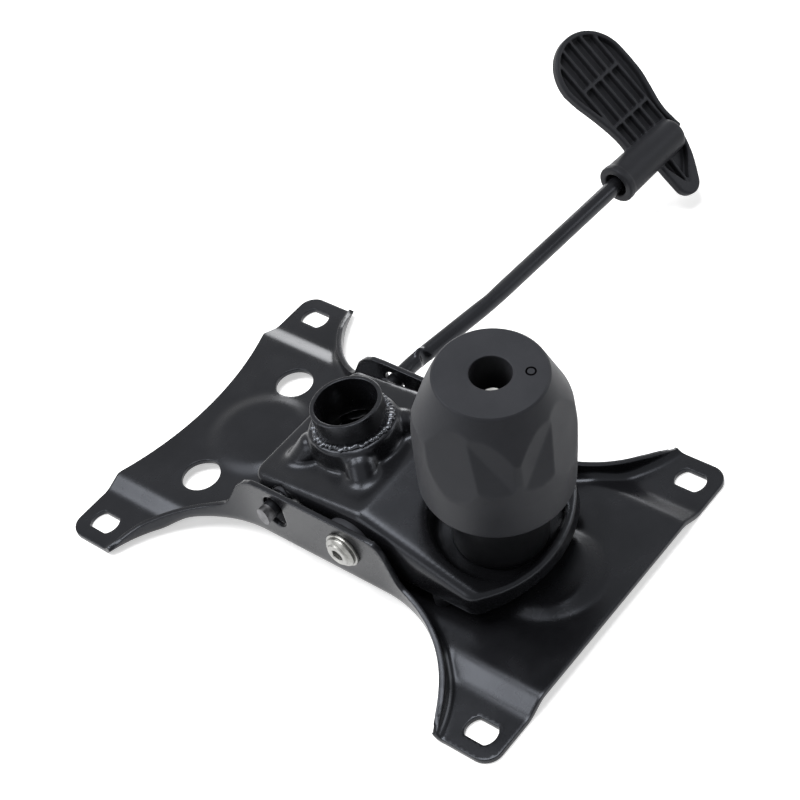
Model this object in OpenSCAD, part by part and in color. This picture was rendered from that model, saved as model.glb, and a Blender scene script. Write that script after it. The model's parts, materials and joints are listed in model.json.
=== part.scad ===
// Office chair tilt mechanism, lying on its seat plate with the gas lift socket upwards.
// x runs across the chair with the lever on the positive side, y runs to the rear of
// the chair, and z runs away from the seat. The origin is the middle of the four seat
// bolt slots, on the face that meets the seat.

/* [Sheet steel] */
// Thickness of the pressed sheet
sheet = 2.5; // [2:0.1:3]
// Inside radius of the folds
fold_r = 3.5; // [2.5:0.5:4.5]

/* [Seat plate] */
// Spacing of the seat bolt slots across the chair
slot_span_x = 150; // [144:1:158]
// Spacing of the seat bolt slots along the chair
slot_span_y = 218; // [212:1:228]
// Width of a seat bolt slot
slot_w = 10; // [8:0.5:11]
// Length of a seat bolt slot
slot_len = 14; // [12:0.5:16]
// Distance from a slot's centre to the side edge of its tab
tab_side = 11.7; // [10:0.1:13]
// Distance from a slot's centre to the end edge of its tab
tab_end = 13; // [11:0.5:16]
// Radius of the tab corners
tab_corner_r = 8; // [5:0.5:9]
// Height of the middle of the plate above its tabs
plate_rise = 4; // [3:0.5:5]
// Half width of the raised middle
rise_half = 53; // [50:0.5:56]
// Run of the slope between the raised middle and a tab
rise_run = 6; // [4:0.5:8]
// Radius of the hollowed sides
waist_r = 60; // [56:1:64]
// Half length of the straight stretch of the sides
waist_half = 35; // [33:0.5:37]
// Depth of the hollow in the rear edge
rear_hollow = 9.5; // [5:0.5:12]
// Diameter of the two round holes
plate_hole_d = 17; // [14:0.5:18]
// Half spacing of the two round holes
plate_hole_x = 33.5; // [33:0.5:36]
// Place of the two round holes along the plate
plate_hole_y = 84.5; // [82:0.5:88]
// Diameter of the round embosses
emboss_d = 44; // [40:1:45]
// Height of the round embosses
emboss_h = 3; // [2:0.5:3.5]
// Width of the slope round an emboss
emboss_slope = 5.5; // [4:0.5:8]
// Place of the rear emboss along the plate
emboss_rear_y = 81; // [79:0.5:83]
// Place of the front emboss along the plate
emboss_front_y = -91; // [-93:0.5:-90.5]

/* [Side ears] */
// Height of the ears above the seat
ear_top = 39; // [38:0.5:42]
// Front end of the level top of the ears
ear_front_y = -36; // [-38:0.5:-33]
// Rear end of the level top of the ears
ear_rear_y = 36; // [34:0.5:38]
// Radius of the ears' top corners
ear_corner_r = 6; // [3:0.5:8]
// Height of the low flange beside the ears
flange_top = 17; // [14:0.5:20]
// Height of the low flange at the tabs
flange_tip = 8; // [6:0.5:10]
// Run of the ears' front edge
ear_front_run = 9; // [6:0.5:12]
// Run of the ears' rear edge
ear_rear_run = 13; // [8:0.5:16]

/* [Housing] */
// Width of the housing
housing_w = 75; // [73:0.5:77]
// Outside radius of the housing's top edges
housing_edge_r = 5; // [4:0.5:6]
// Radius of the housing's rear corners in plan
housing_corner_r = 8; // [5:0.5:10]
// Rear face of the housing
housing_rear_y = 41; // [40:0.5:43]
// Foremost point of the housing
housing_front_y = -92.5; // [-94:0.5:-91.5]
// Radius of the housing's round front
housing_front_r = 59; // [56:1:62]
// Radius of the housing's front corners in plan
housing_front_corner_r = 8; // [6:0.5:10]
// Place of the highest line of the deck
peak_y = -22; // [-24:0.5:-18]
// Height of the highest line of the deck
peak_z = 43; // [42:0.5:44]
// Height of the deck at its rear
deck_rear_z = 35.2; // [34.5:0.1:36]
// Height of the rim at its front
rim_front_z = 20.9; // [20:0.1:22]
// Height of the bottom edge of the side walls near the pivot
skirt_z = 13; // [12:0.5:14]
// Height of the bottom edge of the rear wall
skirt_rear_z = 23; // [22:0.5:25]
// Width of the lip between the front wall and the bowl
lip_w = 4; // [3.5:0.5:5]
// Radius of the bowl at its floor
bowl_r = 27; // [25:0.5:29]
// Slope of the bowl's wall from upright
bowl_draft = 18; // [12:1:24]

/* [Tilt pivot] */
// Place of the pivot along the chair
pivot_y = -16.6; // [-18:0.2:-15]
// Height of the pivot
pivot_z = 26; // [25:0.5:27]
// Diameter of the pivot bolt
pivot_d = 10; // [9:0.5:11]
// Thickness of the friction discs between the ears and the housing
disc_t = 3; // [2.5:0.1:3.5]
// Diameter of the friction discs
disc_d = 24; // [22:0.5:26]
// Diameter of the pivot bolt's washers
pivot_washer_d = 17; // [16:0.5:20]
// Thickness of the pivot bolt's washers
pivot_washer_t = 1.5; // [1:0.1:2]
// Diameter of the pivot bolt's head
pivot_head_d = 15; // [14:0.5:15.5]
// Height of the pivot bolt's head
pivot_head_h = 3; // [2:0.5:4]
// Height of the pivot nut
pivot_nut_h = 6; // [5:0.5:8]
// Wall of the pivot bushes
pivot_bush_wall = 1.5; // [1:0.1:2]

/* [Gas lift socket] */
// Bore for the gas lift
socket_bore = 28; // [27:0.5:29]
// Wall of the socket tube
socket_wall = 2; // [1.5:0.1:2.5]
// Lean of the socket to the rear, in degrees
socket_lean = 4; // [2:0.5:6]
// Place of the socket's mouth along the chair
socket_mouth_y = 9; // [8:0.5:10]
// Height of the socket's mouth
socket_mouth_z = 62.3; // [61:0.1:64]
// Length of the socket tube
socket_len = 19; // [17:0.5:20]
// Depth of the weld below the socket's mouth
socket_weld_depth = 10.5; // [9:0.5:12]
// Thickness of the weld bead
weld_d = 4; // [3:0.5:5]
// Diameter of the raised boss round the socket
boss_d = 40; // [38:0.5:42]
// Diameter of the ribs that brace the boss
brace_d = 10; // [8:0.5:11]
// Length of the ribs that brace the boss
brace_len = 20; // [18:0.5:22]

/* [Tension screw] */
// Lean of the screw to the front, in degrees
screw_lean = 8.4; // [6:0.2:10]
// Place of the screw's cross pin along the chair
screw_pin_y = -64.8; // [-66:0.2:-64]
// Height of the screw's cross pin
screw_pin_z = 12; // [11.8:0.1:12.4]
// Diameter of the screw
screw_d = 10; // [9:0.5:11]
// Diameter of the screw's eye
screw_eye_d = 10; // [9.6:0.1:10.4]
// Diameter of the cross pin
cross_pin_d = 6; // [5:0.5:6]
// Distance along the screw from the cross pin to the bowl's floor
bowl_floor_s = 10.7; // [10.5:0.1:11.5]
// Distance along the screw from the cross pin to its end
screw_end_s = 98; // [94:1:100]
// Outside diameter of the spring cup
cup_d = 41; // [39:0.5:42]
// Wall of the spring cup
cup_wall = 2; // [1.5:0.1:2.5]
// Height of the spring cup
cup_h = 42; // [40:1:44]
// Diameter of the spring wire
spring_wire = 4.6; // [4:0.1:5]
// Diameter of the spring between its wire centres
spring_mean_d = 25; // [24:0.5:26]
// Turns of the spring
spring_turns = 6.5; // [6:0.5:7]
// Distance along the screw from the cross pin to the thrust washer
thrust_s = 75; // [74:0.5:77]
// Thickness of the thrust washer
thrust_t = 3; // [2:0.5:4]

/* [Tension knob] */
// Distance along the screw from the cross pin to the knob's lower rim
knob_s = 47.7; // [46:0.1:49]
// Height of the knob
knob_h = 64.3; // [62:0.1:66]
// Largest diameter of the knob
knob_d = 65; // [63:0.5:67]
// Diameter of the knob at its lower rim
knob_rim_d = 64; // [62:0.5:64.5]
// Diameter of the knob's top face
knob_top_d = 45; // [42:0.5:47]
// Height of the knob's shoulder above its rim
knob_shoulder_h = 47; // [44:0.5:50]
// Diameter of the knob's hollow
knob_hollow_d = 50; // [48:0.5:51]
// Diameter of the hole in the knob's top face
knob_hole_d = 16.7; // [15:0.1:18]
// Number of wide flats round the knob
knob_flats = 4; // [3:1:5]
// Depth of a wide flat at the knob's shoulder
knob_flat_depth = 3.9; // [3.5:0.1:4.5]
// Depth of a finger pocket at the knob's shoulder
knob_pocket_depth = 5; // [4.5:0.1:5.5]
// Turn of the grip about the knob's axis, in degrees
knob_grip_turn = 9; // [0:1:89]
// Width across the flats of the nut in the knob
knob_nut_af = 17; // [16:0.5:18]
// Height of the nut in the knob
knob_nut_h = 10; // [8:0.5:12]

/* [Lever] */
// Diameter of the lever rod
rod_d = 8; // [7:0.5:9]
// Place of the rod along the chair where it crosses the housing
rod_y = 23; // [22:0.5:24]
// Height of the rod
rod_z = 30; // [29.5:0.1:30.2]
// Wall of the rod's bushes
rod_bush_wall = 1.2; // [1:0.1:1.4]
// Length of the rod's end beyond the near ear
rod_stub = 6.5; // [5:0.5:8]
// Distance from the middle of the chair to the first bend
rod_bend_x = 50.5; // [50:0.5:54]
// Turn of the first bend, in degrees
rod_bend_a = 8.4; // [7:0.1:10]
// Turn of the second bend, in degrees
rod_bend_b = 5.1; // [4:0.1:6]
// Radius of the bends
rod_bend_r = 40; // [30:1:50]
// Length of the rod between its bends
rod_mid_len = 46; // [42:1:50]
// Length of the rod from its second bend to the handle
rod_out_len = 92; // [88:1:96]
// Length of the handle's sleeve
sleeve_len = 50.5; // [48:0.5:54]
// Diameter of the handle's sleeve
sleeve_d = 17; // [16:0.5:18]
// Diameter of the sleeve's open mouth
sleeve_mouth_d = 12; // [11:0.5:13]
// Depth of the sleeve's open mouth
sleeve_mouth_depth = 7; // [5:0.5:9]
// Slope of the handle's long blade, in degrees
blade_slope = 44; // [40:1:50]
// Slope of the handle's tail, in degrees
tail_slope = 48; // [42:1:52]
// Largest width of the handle's blade
blade_w = 43; // [41:0.5:45]
// Width of the handle's blade at its waist
blade_waist_w = 33; // [31:0.5:36]
// Distance from the sleeve's axis to the waist of the blade
blade_waist_len = 12; // [10:0.5:14]
// Distance from the sleeve's closed end to the middle of the blade
blade_back = 18.5; // [17:0.5:20]
// Length of the handle's blade from the sleeve's axis
blade_len = 69; // [65:1:72]
// Length of the handle's tail from the sleeve's axis
tail_len = 31.5; // [28:0.5:34]
// Width of the handle's tail at its end
tail_w = 19; // [17:0.5:21]
// Width of the handle's tail at the sleeve
tail_root_w = 26; // [24:0.5:28]
// Offset of the tail from the middle of the blade, towards the sleeve's closed end
tail_shift = 3.5; // [0:0.5:4]
// Thickness of the handle's rim
blade_t = 5; // [4:0.5:6]
// Thickness of the handle's web behind the ribs
blade_web = 2; // [1.5:0.1:2.5]
// Width of the handle's rim
blade_rim = 3; // [2:0.5:4]
// Width of a rib on the handle
rib_w = 2; // [1.5:0.1:2.5]
// Number of long ribs on the handle
rib_count = 5; // [4:1:6]
// Travel of the lever when it is pushed in
push_travel = 12; // [10:0.5:12.5]
// Largest tilt of the housing, in degrees
tilt_max = 10; // [8:0.5:10.5]

/* [Clearances] */
// Radial clearance of running fits
run_fit = 0.05; // [0.03:0.01:0.08]
// Side play of the friction discs
side_play = 0.25; // [0.2:0.05:0.4]
// Gap between seated pieces
seat_gap = 0.2; // [0.15:0.05:0.3]
// Clearance of the rod in the ears' slots
slot_play = 1.5; // [1.2:0.1:1.8]
// Clearance of the rod inside the housing
rod_relief = 0.6; // [0.4:0.1:0.7]

/* [Hidden] */
$fn = 64;
eps = 0.02;
reach = 400;
plate_top = plate_rise + sheet;
ear_in = housing_w / 2 + disc_t + 2 * side_play;
ear_out = ear_in + sheet;
plate_half_x = slot_span_x / 2 + tab_side;
plate_half_y = slot_span_y / 2 + tab_end;
waist_x = ear_out + waist_r;
rear_half = rise_half - 1;
rear_r = (rear_half * rear_half + rear_hollow * rear_hollow) / (2 * rear_hollow);
wall_in = housing_w / 2 - sheet;
deck_slope = atan2(peak_z - deck_rear_z, housing_rear_y - peak_y);
rim_slope = atan2(peak_z - rim_front_z, peak_y - housing_front_y);
socket_od = socket_bore + 2 * socket_wall;
boss_top_depth = socket_weld_depth + weld_d / 4;
pivot_bush_d = pivot_d + 2 * pivot_bush_wall + 2 * run_fit;
rod_hole_d = rod_d + 2 * run_fit;
rod_bush_d = rod_hole_d + 2 * rod_bush_wall;
ear_slot_d = rod_d + 2 * slot_play;
pivot_arm = norm([rod_y - pivot_y, rod_z - pivot_z]);
rod_angle = atan2(rod_z - pivot_z, rod_y - pivot_y);
rod_low = [pivot_y + pivot_arm * cos(rod_angle - tilt_max),
    pivot_z + pivot_arm * sin(rod_angle - tilt_max)];
bracket_t = 3;
bracket_gap = seat_gap;
eye_w = 10;
bracket_half = eye_w / 2 + bracket_gap;
bracket_top_r = cross_pin_d / 2 + 1.5;
bracket_foot = 14;
bracket_bridge = 2;
cup_bottom_s = bowl_floor_s + eps;
cup_floor_s = cup_bottom_s + cup_wall;
cup_hole_d = screw_d + 7;
nut_s = thrust_s + thrust_t + seat_gap;
hollow_top_s = nut_s;
thrust_d = spring_mean_d + spring_wire;
knob_top_s = knob_s + knob_h;
nut_top_s = nut_s + knob_nut_h;
spring_low_s = cup_floor_s + spring_wire / 2 + seat_gap;
spring_high_s = thrust_s - spring_wire / 2 - seat_gap;
spring_pitch = (spring_high_s - spring_low_s) / spring_turns;
spring_sides = 6;
spring_steps = 8;
buffer_d = 12;
stop_d = 8;
stop_x = housing_w / 2 - stop_d / 2 - 0.5;
front_buffer_y = -58;
rear_buffer_x = 24;
tongue_x = 6;
tongue_w = 16;
tongue_t = 4;
tongue_drop = rod_d / 4;
tongue_len = 18;
collar_len = 11;
collar_room = 1.2;
collar_half = rod_d / 2 + 3;
collar_mouth = rod_d * 0.7;
collar_play = 0.4;
rod_pin_d = 2.4;
rod_pin_out = 3.5;
collar_x0 = wall_in - collar_room - rod_pin_d - seat_gap - collar_len;
pin_fit = 0.02;
pin_stations = [collar_x0 - rod_pin_d / 2 - seat_gap, collar_x0 + collar_len + rod_pin_d / 2 + seat_gap];
crimp_len = 4;
crimp_off = 0.5;
sleeve_end = 4;
skirt_step = 6;
skirt_step_back = 4;
skirt_level_end = 14;
pivot_nut_af = 16;
bend_swell = 0.1;
bend_lap = 0.2;
crimp_w = rod_d + 3.5;

black_paint = [0.07, 0.07, 0.08];
zinc = [0.72, 0.72, 0.70];
dark_plastic = [0.16, 0.16, 0.17];
nylon = [0.80, 0.79, 0.74];
rubber = [0.10, 0.10, 0.10];
bright_steel = [0.60, 0.61, 0.63];

// Shapes used by several pieces

module rounded_rect(x, y, r) {
    square([x - 2 * r, y], center = true);
    square([x, y - 2 * r], center = true);
    for (sx = [-1, 1], sy = [-1, 1])
        translate([sx * (x / 2 - r), sy * (y / 2 - r)]) circle(r);
}

// An upright oblong between two points of the y and z plane, drawn in x and y
module oblong(a, b, d) {
    translate(a) circle(d = d);
    translate(b) circle(d = d);
    translate(a) rotate(atan2(b[1] - a[1], b[0] - a[0]))
        translate([0, -d / 2]) square([norm(b - a), d]);
}

// Lays a drawing of y and z out along x
module along_x(from, to) {
    translate([from, 0, 0]) rotate([90, 0, 90]) linear_extrude(to - from) children();
}

// A straight round bar along x
module x_bar(from, to, d) {
    translate([from, 0, 0]) rotate([0, 90, 0]) cylinder(h = to - from, d = d);
}

module at_pivot() { translate([0, pivot_y, pivot_z]) children(); }

module at_rod() { translate([0, rod_y, rod_z]) children(); }

// Frame of the socket: the middle of its mouth, with z up along its axis
module at_socket() {
    translate([0, socket_mouth_y, socket_mouth_z]) rotate([-socket_lean, 0, 0]) children();
}

// Frame of the tension screw: the cross pin, with z up along the screw
module at_screw() {
    translate([0, screw_pin_y, screw_pin_z]) rotate([screw_lean, 0, 0]) children();
}

module tube(h, outer, inner) {
    difference() {
        cylinder(h = h, d = outer);
        translate([0, 0, -1]) cylinder(h = h + 2, d = inner);
    }
}

// A hexagonal prism across its flats
module hexagon(h, af) { cylinder(h = h, d = af / cos(30), $fn = 6); }

// Seat plate

// What the hollowed sides cut away, grown inwards
module side_cut(grow) {
    for (sx = [-1, 1]) {
        for (sy = [-1, 1])
            translate([sx * waist_x, sy * waist_half]) circle(waist_r + grow, $fn = 128);
        translate([sx * waist_x, 0]) square([2 * (waist_r + grow), 2 * waist_half], center = true);
    }
}

module plate_plan() {
    difference() {
        rounded_rect(2 * plate_half_x, 2 * plate_half_y, tab_corner_r);
        side_cut(0);
        translate([0, plate_half_y - rear_hollow + rear_r]) circle(rear_r, $fn = 128);
    }
}

// The strip of the plan that is folded up along both sides
module flange_plan() {
    intersection() {
        plate_plan();
        side_cut(sheet);
    }
}

// Cross section of the plate, from its underside up by t
module rise_section(t) {
    low = rise_half + rise_run;
    far = plate_half_x + 1;
    polygon([[-far, 0], [-low, 0], [-rise_half, plate_rise], [rise_half, plate_rise], [low, 0],
        [far, 0], [far, t], [low, t], [rise_half, plate_rise + t], [-rise_half, plate_rise + t],
        [-low, t], [-far, t]]);
}

module rise_form(t) {
    rotate([90, 0, 0]) linear_extrude(2 * plate_half_y + 2, center = true) rise_section(t);
}

// How far the rounding of an ear's top corner starts from the corner
function corner_back(run) = ear_corner_r * tan(atan2(ear_top - flange_top, run) / 2);

// Where the rounding of an ear's top corner meets its sloping edge
function corner_end(run) = let (slope = atan2(ear_top - flange_top, run))
    corner_back(run) * [cos(slope), -sin(slope)];

// Side view of the ears and the low flanges
module ear_profile() {
    end_y = plate_half_y - tab_end;
    front = corner_end(ear_front_run);
    rear = corner_end(ear_rear_run);
    front_round_y = ear_front_y + corner_back(ear_front_run);
    rear_round_y = ear_rear_y - corner_back(ear_rear_run);
    polygon([[-end_y, 0], [-end_y, flange_tip], [ear_front_y - ear_front_run, flange_top],
        [ear_front_y - front[0], ear_top + front[1]], [front_round_y, ear_top],
        [rear_round_y, ear_top], [ear_rear_y + rear[0], ear_top + rear[1]],
        [ear_rear_y + ear_rear_run, flange_top], [end_y, flange_tip], [end_y, 0]]);
    for (y = [front_round_y, rear_round_y])
        translate([y, ear_top - ear_corner_r]) circle(ear_corner_r + eps);
}

// What rounds an inside corner, with some overlap beyond the corner's faces
module fold_corner(r) {
    difference() {
        translate([-1, -1]) square(r + 1);
        translate([r, r]) circle(r);
    }
}

// A fold's rounding that follows both hollowed sides: off inwards from the side, at height z
module fold_round(off, z, r) {
    intersection() {
        for (sx = [-1, 1]) {
            for (sy = [-1, 1]) translate([sx * waist_x, sy * waist_half, 0])
                rotate_extrude($fn = 128) translate([waist_r + off, z]) fold_corner(r);
            mirror([sx > 0 ? 1 : 0, 0, 0]) rotate([90, 0, 0])
                linear_extrude(2 * waist_half, center = true)
                    translate([-ear_out + off, z]) fold_corner(r);
        }
        cube([2 * rise_half - 1, 2 * plate_half_y, reach], center = true);
        linear_extrude(reach, center = true) plate_plan();
    }
}

module emboss(y, z) {
    translate([0, y, z]) cylinder(h = emboss_h, d1 = emboss_d, d2 = emboss_d - 2 * emboss_slope);
}

module seat_slot() {
    half = (slot_len - slot_w) / 2;
    translate([0, 0, -1]) linear_extrude(reach) oblong([0, -half], [0, half], slot_w);
}

module seat_plate() {
    color(black_paint) difference() {
        union() {
            intersection() {
                linear_extrude(reach) plate_plan();
                rise_form(sheet);
            }
            intersection() {
                linear_extrude(reach) flange_plan();
                rise_form(2 * ear_top);
                along_x(-reach / 2, reach / 2) ear_profile();
            }
            fold_round(sheet - eps, plate_top - eps, fold_r);
            for (y = [emboss_rear_y, emboss_front_y]) emboss(y, plate_top - eps);
        }
        fold_round(-eps, plate_rise - eps, fold_r + sheet);
        for (y = [emboss_rear_y, emboss_front_y]) emboss(y, plate_rise - eps);
        for (sx = [-1, 1]) {
            for (sy = [-1, 1])
                translate([sx * slot_span_x / 2, sy * slot_span_y / 2, 0]) seat_slot();
            translate([sx * plate_hole_x, plate_hole_y, -1]) cylinder(h = ear_top, d = plate_hole_d);
        }
        at_pivot() x_bar(-reach / 2, reach / 2, pivot_d + 2 * run_fit);
        along_x(-reach / 2, reach / 2) oblong([rod_y, rod_z], rod_low, ear_slot_d);
    }
}

// The bracket on the plate that holds the tension screw's cross pin
module screw_bracket() {
    color(black_paint) difference() {
        union() {
            for (sx = [-1, 1]) along_x(sx * (bracket_half + bracket_t / 2) - bracket_t / 2,
                sx * (bracket_half + bracket_t / 2) + bracket_t / 2) bracket_ear();
            translate([-bracket_half - bracket_t, screw_pin_y + screw_eye_d / 2 + 0.5, plate_top])
                cube([2 * (bracket_half + bracket_t), bracket_foot - screw_eye_d / 2 - 0.5, bracket_bridge]);
        }
        translate([0, screw_pin_y, screw_pin_z])
            x_bar(-reach / 2, reach / 2, cross_pin_d + 2 * run_fit);
    }
}

module bracket_ear() {
    translate([screw_pin_y, screw_pin_z]) circle(bracket_top_r);
    translate([screw_pin_y - bracket_top_r, plate_top])
        square([2 * bracket_top_r, screw_pin_z - plate_top]);
    translate([screw_pin_y, plate_top]) square([bracket_foot, bracket_bridge]);
}

module cross_pin() {
    half = bracket_half + bracket_t + 1;
    color(zinc) translate([0, screw_pin_y, screw_pin_z]) {
        x_bar(-half, half, cross_pin_d);
        for (sx = [-1, 1]) x_bar(sx * (half + 0.5) - 0.5, sx * (half + 0.5) + 0.5, cross_pin_d + 2);
    }
}

// Rubber stops for the housing at rest
module front_buffers() {
    color(rubber) for (sx = [-1, 1])
        translate([sx * stop_x, front_buffer_y, plate_top])
            cylinder(h = skirt_z - plate_top - seat_gap, d = stop_d);
}

// Rubber stops for the housing at full tilt
module rear_buffers() {
    arm = [housing_rear_y - sheet / 2 - pivot_y, skirt_rear_z - pivot_z];
    low_y = pivot_y + arm[0] * cos(tilt_max) + arm[1] * sin(tilt_max);
    low_z = pivot_z - arm[0] * sin(tilt_max) + arm[1] * cos(tilt_max);
    color(rubber) for (sx = [-1, 1])
        translate([sx * rear_buffer_x, low_y, plate_top])
            cylinder(h = low_z - plate_top - 3 * seat_gap - 0.5, d = buffer_d);
}

// Pivot

module pivot_bolt() {
    color(zinc) at_pivot() difference() {
        union() {
            x_bar(-ear_out - pivot_washer_t, ear_out + pivot_washer_t + pivot_nut_h + 2, pivot_d);
            translate([-ear_out - pivot_washer_t, 0, 0]) rotate([0, -90, 0])
                cylinder(h = pivot_head_h, d1 = pivot_head_d, d2 = pivot_head_d - 3);
        }
        translate([-ear_out - pivot_washer_t - pivot_head_h - 1, 0, 0]) rotate([0, 90, 0])
            hexagon(3, 5);
    }
}

module pivot_washers() {
    color(zinc) at_pivot() for (x = [-ear_out - pivot_washer_t, ear_out])
        translate([x, 0, 0]) rotate([0, 90, 0])
            tube(pivot_washer_t, pivot_washer_d, pivot_d + 2 * run_fit);
}

module pivot_nut() {
    color(zinc) at_pivot() translate([ear_out + pivot_washer_t, 0, 0]) rotate([0, 90, 0])
        difference() {
            intersection() {
                hexagon(pivot_nut_h, pivot_nut_af);
                cylinder(h = pivot_nut_h, d1 = pivot_nut_af * 1.15, d2 = pivot_nut_af * 1.06);
            }
            translate([0, 0, -1]) cylinder(h = pivot_nut_h + 2, d = pivot_d);
        }
}

module pivot_bushes() {
    color(nylon) at_pivot() for (sx = [-1, 1])
        translate([sx > 0 ? wall_in : -housing_w / 2, 0, 0]) rotate([0, 90, 0])
            tube(sheet, pivot_bush_d, pivot_d + 2 * run_fit);
}

module friction_discs() {
    color(nylon) at_pivot() for (sx = [-1, 1])
        translate([sx > 0 ? housing_w / 2 : -housing_w / 2 - disc_t, 0, 0]) rotate([0, 90, 0])
            tube(disc_t, disc_d, pivot_d + 2 * run_fit);
}

module pivot_spacer() {
    color(bright_steel) at_pivot() translate([-wall_in, 0, 0]) rotate([0, 90, 0])
        tube(2 * wall_in, pivot_d + 5, pivot_d + 2 * run_fit);
}

// Housing

module housing_section(inset) {
    half = housing_w / 2 - inset;
    r = housing_edge_r - inset;
    drop = 80;
    translate([-half, -drop]) square([2 * half, drop - r]);
    translate([-half + r, -drop]) square([2 * half - 2 * r, drop]);
    for (sx = [-1, 1]) translate([sx * (half - r), -r]) circle(r);
}

module housing_roof(inset, slope) {
    translate([0, peak_y, peak_z]) rotate([slope, 0, 0]) translate([0, 0, -inset])
        rotate([90, 0, 0]) linear_extrude(reach, center = true) housing_section(inset);
}

// Middle of the rounding of a front corner of the housing
function front_corner() = let (x = housing_w / 2 - housing_front_corner_r,
    r = housing_front_r - housing_front_corner_r)
    [x, housing_front_y + housing_front_r - sqrt(r * r - x * x)];

// What is cut away to round a front corner of the housing
module front_corner_cut(inset) {
    c = front_corner();
    out = c - [0, housing_front_y + housing_front_r];
    far = housing_w;
    translate(c) difference() {
        polygon([[0, 0], [far, 0], [far, -far], far * out / norm(out)]);
        circle(housing_front_corner_r - inset);
    }
}

module housing_plan(inset) {
    back = housing_rear_y - inset;
    half = housing_w / 2 - inset;
    mid_y = housing_front_y + housing_front_r;
    r = housing_corner_r - inset;
    difference() {
        intersection() {
            union() {
                translate([-half, -reach / 2]) square([2 * half, reach / 2 + back - r]);
                translate([-half + r, -reach / 2]) square([2 * half - 2 * r, reach / 2 + back]);
                for (sx = [-1, 1]) translate([sx * (half - r), back - r]) circle(r);
            }
            union() {
                translate([0, mid_y]) circle(housing_front_r - inset, $fn = 128);
                translate([-reach / 2, mid_y]) square(reach);
            }
        }
        for (sx = [0, 1]) mirror([sx, 0]) front_corner_cut(inset);
    }
}

// The housing's outline as a solid, drawn in by inset
module housing_form(inset) {
    intersection() {
        linear_extrude(reach, center = true) housing_plan(inset);
        housing_roof(inset, -deck_slope);
        housing_roof(inset, rim_slope);
    }
}

// Side view of what is left of the walls above their bottom edge
module skirt_profile() {
    step_z = skirt_z + skirt_step;
    polygon([[housing_rear_y + 1, skirt_rear_z], [rod_y - skirt_step_back, step_z],
        [pivot_y + skirt_level_end, skirt_z], [housing_front_y - 1, skirt_z],
        [housing_front_y - 1, reach], [housing_rear_y + 1, reach]]);
}

module bowl(grow) {
    deep = 60;
    floor_s = bowl_floor_s - grow;
    intersection() {
        at_screw() translate([0, 0, floor_s]) cylinder(h = deep, r1 = bowl_r + grow,
            r2 = bowl_r + grow + deep * tan(bowl_draft));
        linear_extrude(reach, center = true) housing_plan(lip_w - grow);
    }
}

module boss(grow) {
    bottom = 24;
    translate([0, 0, -boss_top_depth - bottom - grow])
        cylinder(h = bottom + grow, d = boss_d + 2 * grow);
}

module boss_braces() {
    for (a = [45 : 90 : 315]) rotate(a)
        translate([boss_d / 2 - 2, 0, -boss_top_depth - brace_d * 0.7]) rotate([0, 135, 0])
            cylinder(h = brace_len, d = brace_d);
}

module tilt_housing() {
    color(black_paint) difference() {
        union() {
            difference() {
                union() {
                    housing_form(0);
                    at_socket() boss(0);
                    at_socket() boss_braces();
                }
                housing_form(sheet);
                at_socket() translate([0, 0, -sheet]) boss(-sheet);
            }
            intersection() {
                bowl(sheet);
                housing_form(0);
            }
        }
        bowl(0);
        at_socket() translate([0, 0, -socket_len - 1]) cylinder(h = socket_len + 1, d = socket_od);
        at_screw() cylinder(h = cup_h, d = cup_hole_d);
        at_pivot() x_bar(-reach / 2, reach / 2, pivot_bush_d);
        at_rod() for (x = [-reach / 2, wall_in]) x_bar(x, x + reach / 2 - wall_in, rod_bush_d);
        at_rod() x_bar(-wall_in - eps, wall_in + eps, rod_d + 2 * rod_relief);
        difference() {
            translate([-reach / 2, -reach / 2, -reach / 2]) cube([reach, reach, reach / 2 + peak_z]);
            along_x(-reach / 2, reach / 2) skirt_profile();
        }
    }
}

module gas_lift_socket() {
    color(black_paint) at_socket() translate([0, 0, -socket_len])
        tube(socket_len, socket_od, socket_bore);
}

module socket_weld() {
    color(black_paint) at_socket() translate([0, 0, -boss_top_depth])
        rotate_extrude() difference() {
            translate([socket_od / 2, 0]) circle(d = weld_d, $fn = 32);
            translate([0, -weld_d]) square([socket_od / 2, 2 * weld_d]);
            translate([0, -weld_d]) square([socket_od, weld_d]);
        }
}

module rod_bushes() {
    color(nylon) at_rod() for (x = [-housing_w / 2, wall_in])
        translate([x, 0, 0]) rotate([0, 90, 0]) tube(sheet, rod_bush_d, rod_hole_d);
}

// Tension screw, spring and knob

module spring_cup() {
    color(dark_plastic) at_screw() difference() {
        translate([0, 0, cup_bottom_s]) cylinder(h = cup_h, d = cup_d);
        translate([0, 0, cup_floor_s]) cylinder(h = cup_h, d = cup_d - 2 * cup_wall);
        cylinder(h = reach, d = cup_hole_d);
    }
}

function coil_point(i) = let (a = 360 * i / spring_steps)
    [spring_mean_d / 2 * cos(a), spring_mean_d / 2 * sin(a),
        spring_low_s + spring_pitch * i / spring_steps];

function coil_ring(i) = let (a = 360 * i / spring_steps, c = coil_point(i))
    [for (k = [0 : spring_sides - 1]) let (b = 360 * k / spring_sides)
        c + spring_wire / 2 * [cos(b) * cos(a), cos(b) * sin(a), sin(b)]];

module tension_spring() {
    rings = spring_turns * spring_steps;
    last = rings * spring_sides;
    points = [for (i = [0 : rings]) each coil_ring(i)];
    sides = [for (i = [0 : rings - 1], k = [0 : spring_sides - 1])
        let (n = (k + 1) % spring_sides, a = i * spring_sides, b = a + spring_sides)
            each [[a + k, a + n, b + n], [a + k, b + n, b + k]]];
    start = [for (k = [1 : spring_sides - 2]) [0, k + 1, k]];
    finish = [for (k = [1 : spring_sides - 2]) [last, last + k, last + k + 1]];
    echo(spring_gap = min([for (i = [0 : rings - spring_steps])
        norm(coil_point(i + spring_steps) - coil_point(i)) - spring_wire]));
    color(bright_steel) at_screw() polyhedron(points, concat(sides, start, finish), convexity = 10);
}

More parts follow.
